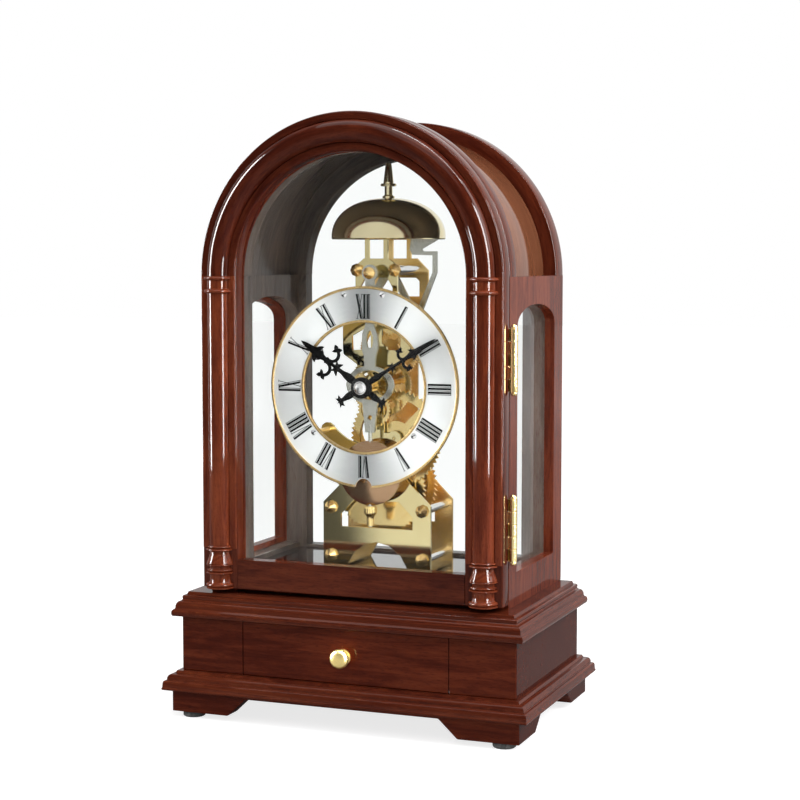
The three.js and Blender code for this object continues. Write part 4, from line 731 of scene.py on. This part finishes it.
nutCone = np.array([[0, 1.0], [0.2, 0.98], [0.55, 0.72], [0.92, 0.44], [1.0, 0.38], [1.0, 0], [0, 0]])
posts = {"nut": 4.0, "nutRise": 4.2, "shaft": 2.75, "shank": 2.0, "plate": 2.0, "facets": 8}
n = posts
cone = nutCone * [n["nut"], n["nutRise"]]
thin, thick, plate = n["shank"], n["shaft"], n["plate"]
for name in [f"{level}_{side}" for level in ("lower", "middle", "upper") for side in ("left", "right")]:
    lo, hi = corners(f"{name}_pillar")
    place = (lo + hi) / 2 * [1, 0, 1]
    front, back = lo[1] + n["nutRise"], hi[1] - n["nutRise"]
    shaft = np.array([
        [0, front], [thin, front], [thin, front + plate], [thick, front + plate],
        [thick, back - plate], [thin, back - plate], [thin, back], [0, back]])
    node = [f"{name}_pillar"]
    makePiece(f"{name}_post", [turned(shaft, place, "y", 32)], "case", brightSteel, node)
    ends = (cone * [1, -1] + [0, front], cone + [0, back])
    makePiece(f"{name}_post_nuts", [turned(end, place, "y", n["facets"]) for end in ends],
              "case", warmBrass, node)
pendulumEye = {"radius": 5.0, "nut": 3.7, "rise": 2.6, "facets": 8}
n = pendulumEye
rodLo, rodHi = corners("pendulum_rod")
eyeMiddle = (0, rodLo[1], rodHi[2] - n["radius"])
makePiece("pendulum_eye_nut", [turned(nutCone * [n["nut"], -n["rise"]], eyeMiddle, "y", n["facets"])],
          "pendulum", warmBrass)
print("turned brass made")


# Dial: silvered ring with a round notch at the six, thin brass rims, numerals and screws
dial = {"open": 38.5, "front": -31.4, "thick": 1.2, "rim": 1.5, "proud": 0.8, "rimCrown": 0.35, "rimLap": 0.4,
        "notch": 5.3, "notchDepth": 0.4, "slitGap": 0.004, "foot": 1.6, "footBack": -11.0, "sunk": 0.3,
        "screws": ((12.2, 55.0), (-12.2, 55.0), (32.0, -27.7), (-32.0, -27.7))}
dialLo, dialHi = corners("dial_ring")
dialRadius, dialZ = dialHi[0], (dialLo[2] + dialHi[2]) / 2
n = dial
dialFace, dialBack = n["front"], n["front"] + n["thick"]


def dialRing():
    # a flat ring whose outer edge follows the notch: a ray from the middle meets the notch's circle at
    # c cos a - sqrt(r r - c c sin a sin a), where a is measured from straight down
    c, r = dialRadius - dial["notchDepth"], dial["notch"]
    limit = math.asin(r / c)
    a = limit * np.sin(np.linspace(-np.pi / 2, np.pi / 2, 41))
    cut = c * np.cos(a) - np.sqrt(np.maximum(r * r - (c * np.sin(a)) ** 2, 0))
    rest = np.linspace(limit, 2 * np.pi - limit, 260)
    angle = np.concatenate([a, rest])[:, None]
    outer = np.concatenate([cut, 0 * rest + dialRadius - dial["rimLap"]])[:, None]
    inner = dial["open"] + dial["rimLap"]
    radius = inner + (outer - inner) * np.linspace(0, 1, 6)
    flat = coords(radius * np.sin(angle), 0 * radius, dialZ - radius * np.cos(angle))
    faceSide, backSide = flat + [0, dialFace, 0], flat + [0, dialBack, 0]
    walls = [np.stack([faceSide[:, i], backSide[:, i]], 1) for i in (0, -1)]
    return [gridPatch(p, wrapRows=True) for p in (faceSide, backSide, *walls)]


def dialFoot(x, z):
    r, front, back = dial["foot"], dialBack - dial["sunk"], dial["footBack"]
    return turned([[0, front], [r, front], [r, back], [0, back]], (x, 0, dialZ + z), "y", 20)


silver = silveredDial("silvered_ring", dialZ, dialFace + n["sunk"])
makePiece("dial_plate", dialRing() + [dialFoot(*spot) for spot in n["screws"]],
          "case", silver, ["dial_ring"])


def rimBand(r0, start, stop, closed):
    # a low half-round rim with a flat back, carried from one angle to another
    wide, crown = dial["rim"], dial["rimCrown"]
    top = dialFace - dial["proud"]
    over = arc(r0 + wide / 2, top + crown, wide / 2, 180, 360, 9, 2 * crown / wide)
    line = np.vstack([[[r0, dialBack]], over, [[r0 + wide, dialBack]]])
    t = np.linspace(start, stop, 220, endpoint=not closed)[:, None]
    points = coords(line[:, 0] * np.cos(t), line[:, 1] + 0 * t, dialZ + line[:, 0] * np.sin(t))
    return [gridPatch(points, wrapRows=True, wrapCols=True)] if closed else tube(points)


slit = math.asin(n["notch"] / (dialRadius - n["rim"])) + n["slitGap"]
makePiece("dial_outer_rim", rimBand(dialRadius - n["rim"], slit - np.pi / 2, 1.5 * np.pi - slit, False),
          "case", rimBrass)
makePiece("dial_inner_rim", rimBand(n["open"], 0, 2 * np.pi, True), "case", rimBrass)

numerals = {"low": 40.9, "high": 55.2, "sixHigh": 53.6, "thick": 1.25, "thin": 0.36, "apart": 1.16,
            "split": (0.36, 0.64), "serif": 0.3, "raise": 0.06, "layers": 4, "layerStep": 0.004, "sunk": 0.05,
            "words": ("XII", "I", "II", "III", "IIII", "V", "VI", "VII", "VIII", "IX", "X", "XI")}

# each stroke as hour, start, end and width in the hour's own frame: across the dial and out along its radius;
# a heavy stroke is a thick line with a thin one beside it
g = numerals
before, after = (share * g["apart"] for share in g["split"])


def heavy(x0, z0, x1, z1):
    return [(x0 - before, z0, x1 - before, z1, g["thick"]), (x0 + after, z0, x1 + after, z1, g["thin"])]


def fine(x0, z0, x1, z1):
    return [(x0, z0, x1, z1, g["thin"])]


def serif(x, z, reach=0.95):
    return [(x - reach, z, x + reach, z, g["serif"])]


strokes = []
for hour, word in enumerate(g["words"]):
    low, high = g["low"], g["sixHigh"] if hour == 6 else g["high"]
    shapes = {  # the room each letter takes, and its strokes
        "I": (2.3, heavy(0, low, 0, high) + serif(0.1, low) + serif(0.1, high)),
        "V": (4.7, heavy(-1.5, high, 0, low) + fine(1.6, high, 0.6, low) + serif(-1.5, high)
              + serif(1.6, high, 0.7)),
        "X": (4.6, heavy(-1.45, high, 1.45, low) + fine(1.55, high, -1.45, low) + serif(-1.45, high)
              + serif(1.55, high, 0.7) + serif(-1.45, low, 0.7) + serif(1.55, low))}
    widths = [shapes[c][0] for c in word]
    left = np.cumsum([0] + widths[:-1]) - sum(widths) / 2 + np.array(widths) / 2
    for c, x in zip(word, left):
        strokes += [(hour, x0 + x, z0, x1 + x, z1, w) for x0, z0, x1, z1, w in shapes[c][1]]
strokes = np.array(strokes, float)


def strokeBlocks(strokes, yFront, yBack, least=1e-6):
    # each stroke becomes a thin block: its middle line widened both ways, or up and down if it is level, cut
    # level at its ends and turned to its hour
    hour, x0, z0, x1, z1, w = strokes.T
    level = np.abs(z1 - z0) < least
    long = np.hypot(x1 - x0, z1 - z0)
    dx = np.where(level, 0, 0.5 * w * long / np.maximum(np.abs(z1 - z0), least))
    dz = np.where(level, 0.5 * w, 0)
    x = coords(x0 - dx, x0 + dx, x1 + dx, x1 - dx)
    z = coords(z0 + dz, z0 - dz, z1 - dz, z1 + dz)
    turn = np.radians(30 * hour)[:, None]
    px = x * np.cos(turn) + z * np.sin(turn)
    pz = z * np.cos(turn) - x * np.sin(turn) + dialZ
    near, far = (coords(px, 0 * px + y, pz) for y in (yFront, yBack))
    v = np.concatenate([near, far], 1).reshape(-1, 3)
    f = (np.arange(len(strokes))[:, None, None] * 8 + boxFaces).reshape(-1, 4)
    return {"v": v, "f": f.tolist(), "g": v}


# in layers, so that strokes can cross
inkLevels = [dialFace - g["raise"] - g["layerStep"] * i for i in range(g["layers"])]
makePiece("dial_numerals", [
    strokeBlocks(strokes[i::g["layers"]], y, dialFace + g["sunk"]) for i, y in enumerate(inkLevels)],
    "case", inkAndSlotShade)

screw = {"radius": 1.75, "rise": 0.75, "dome": 0.55, "sunk": 0.05, "slot": 0.42, "slotReach": (1.1, 0.75),
         "slotProud": 0.03, "slotSunk": 0.3}


def screwHead(x, z):
    # a low dome whose height falls with the square of the radius
    r = np.linspace(0, 1, 10)
    s = screw
    line = coords(s["radius"] * r, -s["rise"] * (1 - s["dome"] * r ** 2))
    back = [[s["radius"], s["sunk"]], [0, s["sunk"]]]
    return turned(np.vstack([line, back]), (x, dialFace, dialZ + z), "y", 28)


makePiece("dial_screws", [screwHead(*spot) for spot in n["screws"]], "case", brightSteel)
# the slots are black bars laid over the heads: painted shade for the grooves
dx, dz = screw["slotReach"]
slots = np.array([[0, x - dx, z - dz, x + dx, z + dz, screw["slot"]] for x, z in n["screws"]])
slotFront, slotBack = dialFace - screw["rise"] - screw["slotProud"], dialFace - screw["slotSunk"]
makePiece("dial_screw_slots", [strokeBlocks(slots, slotFront, slotBack)], "case", inkAndSlotShade)
print("dial made")


# Hands: bars as across, along and half width, from the middle of the dial out. Paired bars and the scroll
# come on both sides; the scroll is given as across, along, radius and half width.
tailBars = {
    "single": [[(0, -4.5, 1.5), (0, -9, 2.1), (0, -12, 1.5), (0, -14.5, 1.0), (0, -17.8, 0.1)]],
    "paired": [
        [(0, -14.9, 1.2), (1.7, -15.3, 0.95), (3.6, -14.6, 0.1)],
        [(0, -15.5, 1.0), (1.6, -16.3, 0.7), (3.0, -17.4, 0.1)]]}
hourHand = {
    "node": "hour_hand", "body": "hour_hand_pipe", "turn": 304.8, "bore": 3.3,
    "single": [[
        (0, 4.5, 1.6), (0, 8, 2.3), (0, 11.5, 2.3), (0, 15, 1.4), (0, 18, 1.2), (0, 22, 1.0),
        (0, 27, 1.0), (0, 31, 1.8), (0, 34, 2.7), (0, 37, 2.3), (0, 41, 1.8), (0, 45, 1.1), (0, 47.8, 0.1)]],
    "paired": [
        [(0, 20.2, 1.3), (1.9, 19.3, 1.15), (4.2, 17.4, 0.1)],
        [(0, 19.4, 1.1), (1.7, 20.7, 0.95), (3.6, 22.2, 0.1)],
        [(8.6, 25.4, 0.8), (9.8, 27.0, 1.3), (10.8, 28.5, 0.1)],
        [(8.6, 25.4, 0.8), (9.8, 24.2, 1.2), (10.7, 22.8, 0.1)],
        [(8.9, 25.4, 0.8), (7.7, 26.5, 1.0), (6.4, 27.7, 0.1)],
        [(0, 36.4, 1.9), (2.4, 35.7, 1.6), (4.2, 34.7, 1.0), (5.6, 33.5, 0.1)],
        [(0, 31.8, 1.2), (2.0, 32.6, 1.0), (3.8, 33.7, 0.1)]],
    "scroll": (5.0, 26.5, 4.0, 1.0)}
minuteHand = {
    "node": "minute_hand", "body": "minute_hand_arbor", "turn": 57.6, "bore": 1.7,
    "single": [[
        (0, 4.5, 1.3), (0, 9, 1.8), (0, 13, 1.7), (0, 18, 1.1), (0, 22, 1.0), (0, 27, 0.9), (0, 33, 0.95),
        (0, 36, 1.5), (0, 38.5, 2.1), (0, 42, 1.8), (0, 48, 1.3), (0, 53, 0.7), (0, 55.6, 0.1)]],
    "paired": [
        [(0, 23.7, 1.0), (1.2, 23.1, 0.85), (2.6, 22.0, 0.1)],
        [(0, 22.9, 0.8), (1.1, 24.0, 0.7), (2.3, 25.0, 0.1)],
        [(5.6, 32.3, 0.6), (6.3, 33.5, 0.9), (7.0, 34.6, 0.1)],
        [(5.6, 32.3, 0.6), (6.3, 31.4, 0.85), (7.0, 30.5, 0.1)],
        [(5.6, 32.3, 0.6), (4.9, 33.2, 0.7), (4.0, 34.0, 0.1)],
        [(0, 39.8, 1.5), (1.8, 39.0, 1.1), (3.6, 37.5, 0.1)]],
    "scroll": (3.1, 33.0, 2.7, 0.85)}
scrollArc = {"start": 149, "stop": 360, "count": 40, "swell": (0.7, 0.3), "swing": (0.1, 0.85 * np.pi)}
hub = {"radius": 6.3, "edge": 0.35, "crown": 0.4, "crease": 50}
handCap = {"fit": 0.97, "ridges": 24, "ridgeShare": 0.03}


def bar(line, lo, hi, turn):
    # a lens-faced bar carried along a line: its half width u from -1 to 1 to either side, its face lower by
    # u squared
    path, wide = line[:, :2], line[:, 2:]
    way = np.gradient(path, axis=0)
    way /= np.linalg.norm(way, axis=1, keepdims=True)
    side = coords(way[:, 1], -way[:, 0])
    across = np.linspace(-1, 1, 7)
    u = np.concatenate([across, [1, -1]])
    flat = path[:, None, :] + side[:, None, :] * (wide * u)[..., None]
    y = np.concatenate([lo[1] + (hi[1] - lo[1]) * hub["crown"] * across ** 2, [hi[1], hi[1]]])
    a = math.radians(turn)
    x = flat[..., 0] * math.cos(a) + flat[..., 1] * math.sin(a)
    z = flat[..., 1] * math.cos(a) - flat[..., 0] * math.sin(a) + dialZ
    return tube(coords(x, y + 0 * x, z))


def handPiece(hand):
    # bars, a scroll on each side that swells towards its middle, and the hub
    lo, hi = corners(hand["node"])
    lines, pairs = ([through(line, 6) for line in hand[k] + tailBars[k]] for k in ("single", "paired"))
    s, (*circle, wide) = scrollArc, hand["scroll"]
    curl = arc(*circle, s["start"], s["stop"], s["count"])
    swell = s["swell"][0] + s["swell"][1] * np.sin(np.linspace(*s["swing"], s["count"]))
    pairs.append(np.column_stack([curl, wide * swell]))
    lines += [line * [side, 1, 1] for line in pairs for side in (1, -1)]
    r, e, bore, front, back = hub["radius"], hub["edge"], hand["bore"], lo[1], hi[1]
    boss = [[bore, back], [bore, front], [r - e, front], [r, front + e], [r, back], [bore, back]]
    patches = [p for line in lines for p in bar(line, lo, hi, hand["turn"])]
    makePiece(f"{hand['node']}_scrolls", patches + [turned(boss, (0, 0, dialZ), "y", 48)],
              hand["body"], handBlack, [hand["node"]], crease=hub["crease"])


handPiece(hourHand)
handPiece(minuteHand)
capLine = np.vstack([[[0, 1]], arc(0, 0, 1, 75, 25, 8), [[1, 0.4], [1, 0], [0, 0]]]) * [handCap["fit"], 1]
turnedPiece(
    "hand_cap", "hand_nut", capLine, "y", 120, "minute_hand_arbor", brightSteel, handCap, dialZ)
print("hands made")


# Floor, light and camera, in metres. Pairs are values outside and inside the case, or at the ends of a span.
stageLook = {"size": 6.0, "floor": 0.42, "roughness": 0.9, "glow": (0.78, 0.95), "glowSpan": (0.6, 2.0),
             "outdoor": (0.05, 0.9), "outdoorSpan": (0.6, 2.2), "indoor": 0.43, "ambient": (0.42, 0.02),
             "front": (0.1, 0.62), "behind": 0.9, "fade": (-0.35, 0.55),
             "dimSlope": 0.428, "dimEdge": (-0.008, 0.026), "dim": 0.08}


def rayKinds(tree):
    # rays that see a thing directly (from the camera, or only through glass), that come off a shiny surface,
    # and that have been through the glass of the case
    path = put("LightPath", {}, tree).outputs
    bounced = calc("ADD", path["Glossy Depth"], path["Diffuse Depth"])
    clear = times(path["Is Transmission Ray"], calc("LESS_THAN", bounced, 0.5))
    direct = calc("MAXIMUM", path["Is Camera Ray"], clear)
    return direct, *(calc("GREATER_THAN", path[f"{k} Depth"], 0.5) for k in ("Glossy", "Transmission"))


def pageFloor():
    # one wide square far past the picture's edge; it glows where it is seen directly, and in reflections
    s = stageLook
    mesh = bpy.data.meshes.new("floor")
    mesh.from_pydata([(x * s["size"], y * s["size"], 0) for x, y in square], [], [(0, 1, 2, 3)])
    floor = bpy.data.objects.new("floor", mesh)
    scene.collection.objects.link(floor)
    mat, tree, shade = newMaterial("pale_floor")
    direct, shiny, indoors = rayKinds(tree)
    spot = axes(objectSpot(tree))
    outdoor = span(spot["Y"], *s["outdoorSpan"], *s["outdoor"])
    # the brass behind the glass mirrors a dim part of the studio, left of a line from the clock's foot
    leftward = minus(spot["X"], times(spot["Y"], s["dimSlope"]))
    lit = span(leftward, *s["dimEdge"], s["dim"], 1.0)
    mirrored = span(indoors, 0.0, 1.0, outdoor, times(lit, s["indoor"]))
    unlit = times(times(shiny, indoors), minus(1.0, lit))
    tone = times(minus(1.0, unlit), s["floor"])
    feed(shade, {
        "Base Color": triple(tone, tone, tone), "Roughness": s["roughness"], "Specular IOR Level": 0.0})
    shown = calc("MAXIMUM", direct, times(shiny, mirrored))
    strength = span(lengthOf(objectSpot(tree)), *s["glowSpan"], *s["glow"])
    glow = put("Emission", {"Color": (1, 1, 1, 1), "Strength": times(shown, strength)})
    both = put("AddShader", {0: shade.outputs["BSDF"], 1: glow.outputs["Emission"]})
    feed(tree.nodes["Material Output"], {"Surface": both.outputs["Shader"]})
    mesh.materials.append(mat)


def whiteRoom():
    # white where it is seen directly; in reflections it fades from white behind to dim in front, less dim for
    # what stands behind the glass
    s = stageLook
    world = bpy.data.worlds.new("room")
    scene.world = world
    world.use_nodes = True
    tree = world.node_tree
    direct, shiny, indoors = rayKinds(tree)
    way = axes(put("TexCoord", {}, tree).outputs["Generated"])["Y"]
    front = span(indoors, 0.0, 1.0, *s["front"])
    mirror = span(way, *s["fade"], front, s["behind"])
    ambient = span(indoors, 0.0, 1.0, *s["ambient"])  # shadow rays bring the rest
    rest = calc("ADD", times(shiny, mirror), times(minus(1.0, shiny), ambient))
    level = calc("ADD", direct, times(minus(1.0, direct), rest))
    feed(tree.nodes["Background"], {"Color": (1, 1, 1, 1), "Strength": level})


lampTarget = Vector((0, 0, 0.2))
lamps = (  # name, degrees round from the front, distance, height, width, tall, power
    ("sheen_right", 60, 1.3, 0.45, 0.34, 1.2, 110), ("sheen_left", -69, 1.3, 0.45, 0.3, 1.2, 100),
    ("sheen_top", 0, 0.25, 1.5, 1.6, 1.0, 16), ("sheen_strip", 75, 0.45, 1.45, 0.1, 1.0, 19),
    ("side_right", 86, 1.2, 1.0, 0.6, 1.0, 24), ("side_left", -70, 1.3, 0.6, 0.6, 1.0, 5),
    ("top_front", 8, 1.3, 1.5, 1.1, 0.8, 7), ("top", 30, 0.3, 1.6, 1.0, 1.0, 6))


def softbox(name, azimuth, distance, height, width, tall, power):
    # a lamp panel aimed at the clock's middle; one for sheen shows in the lacquer and lights nothing else
    lamp = bpy.data.lights.new(name, "AREA")
    lamp.shape = "RECTANGLE"
    lamp.size, lamp.size_y = width, tall
    lamp.energy = power
    panel = bpy.data.objects.new(name, lamp)
    scene.collection.objects.link(panel)
    a = math.radians(azimuth)
    panel.location = (distance * math.sin(a), -distance * math.cos(a), height)
    panel.rotation_euler = (lampTarget - panel.location).to_track_quat("-Z", "Y").to_euler()
    panel.visible_diffuse = not name.startswith("sheen")
    panel.visible_transmission = False  # shadow rays already bring its light through the glass


pageFloor()
whiteRoom()
for lamp in lamps:
    softbox(*lamp)

view = {"eye": (412.2, -1024.8, 276.6), "target": (10.95, 0.0, 189.78), "lens": 81.88, "sensor": 36.0,
        "clip": (0.05, 50)}
lens = bpy.data.cameras.new("camera")
lens.sensor_width = view["sensor"]
lens.sensor_fit = "HORIZONTAL"
lens.lens = view["lens"]
lens.clip_start, lens.clip_end = view["clip"]
camera = bpy.data.objects.new("camera", lens)
scene.collection.objects.link(camera)
camera.location = Vector(view["eye"]) * mm
camera.rotation_euler = (Vector(view["target"]) - Vector(view["eye"])).to_track_quat("-Z", "Y").to_euler()
scene.camera = camera
print("stage set")
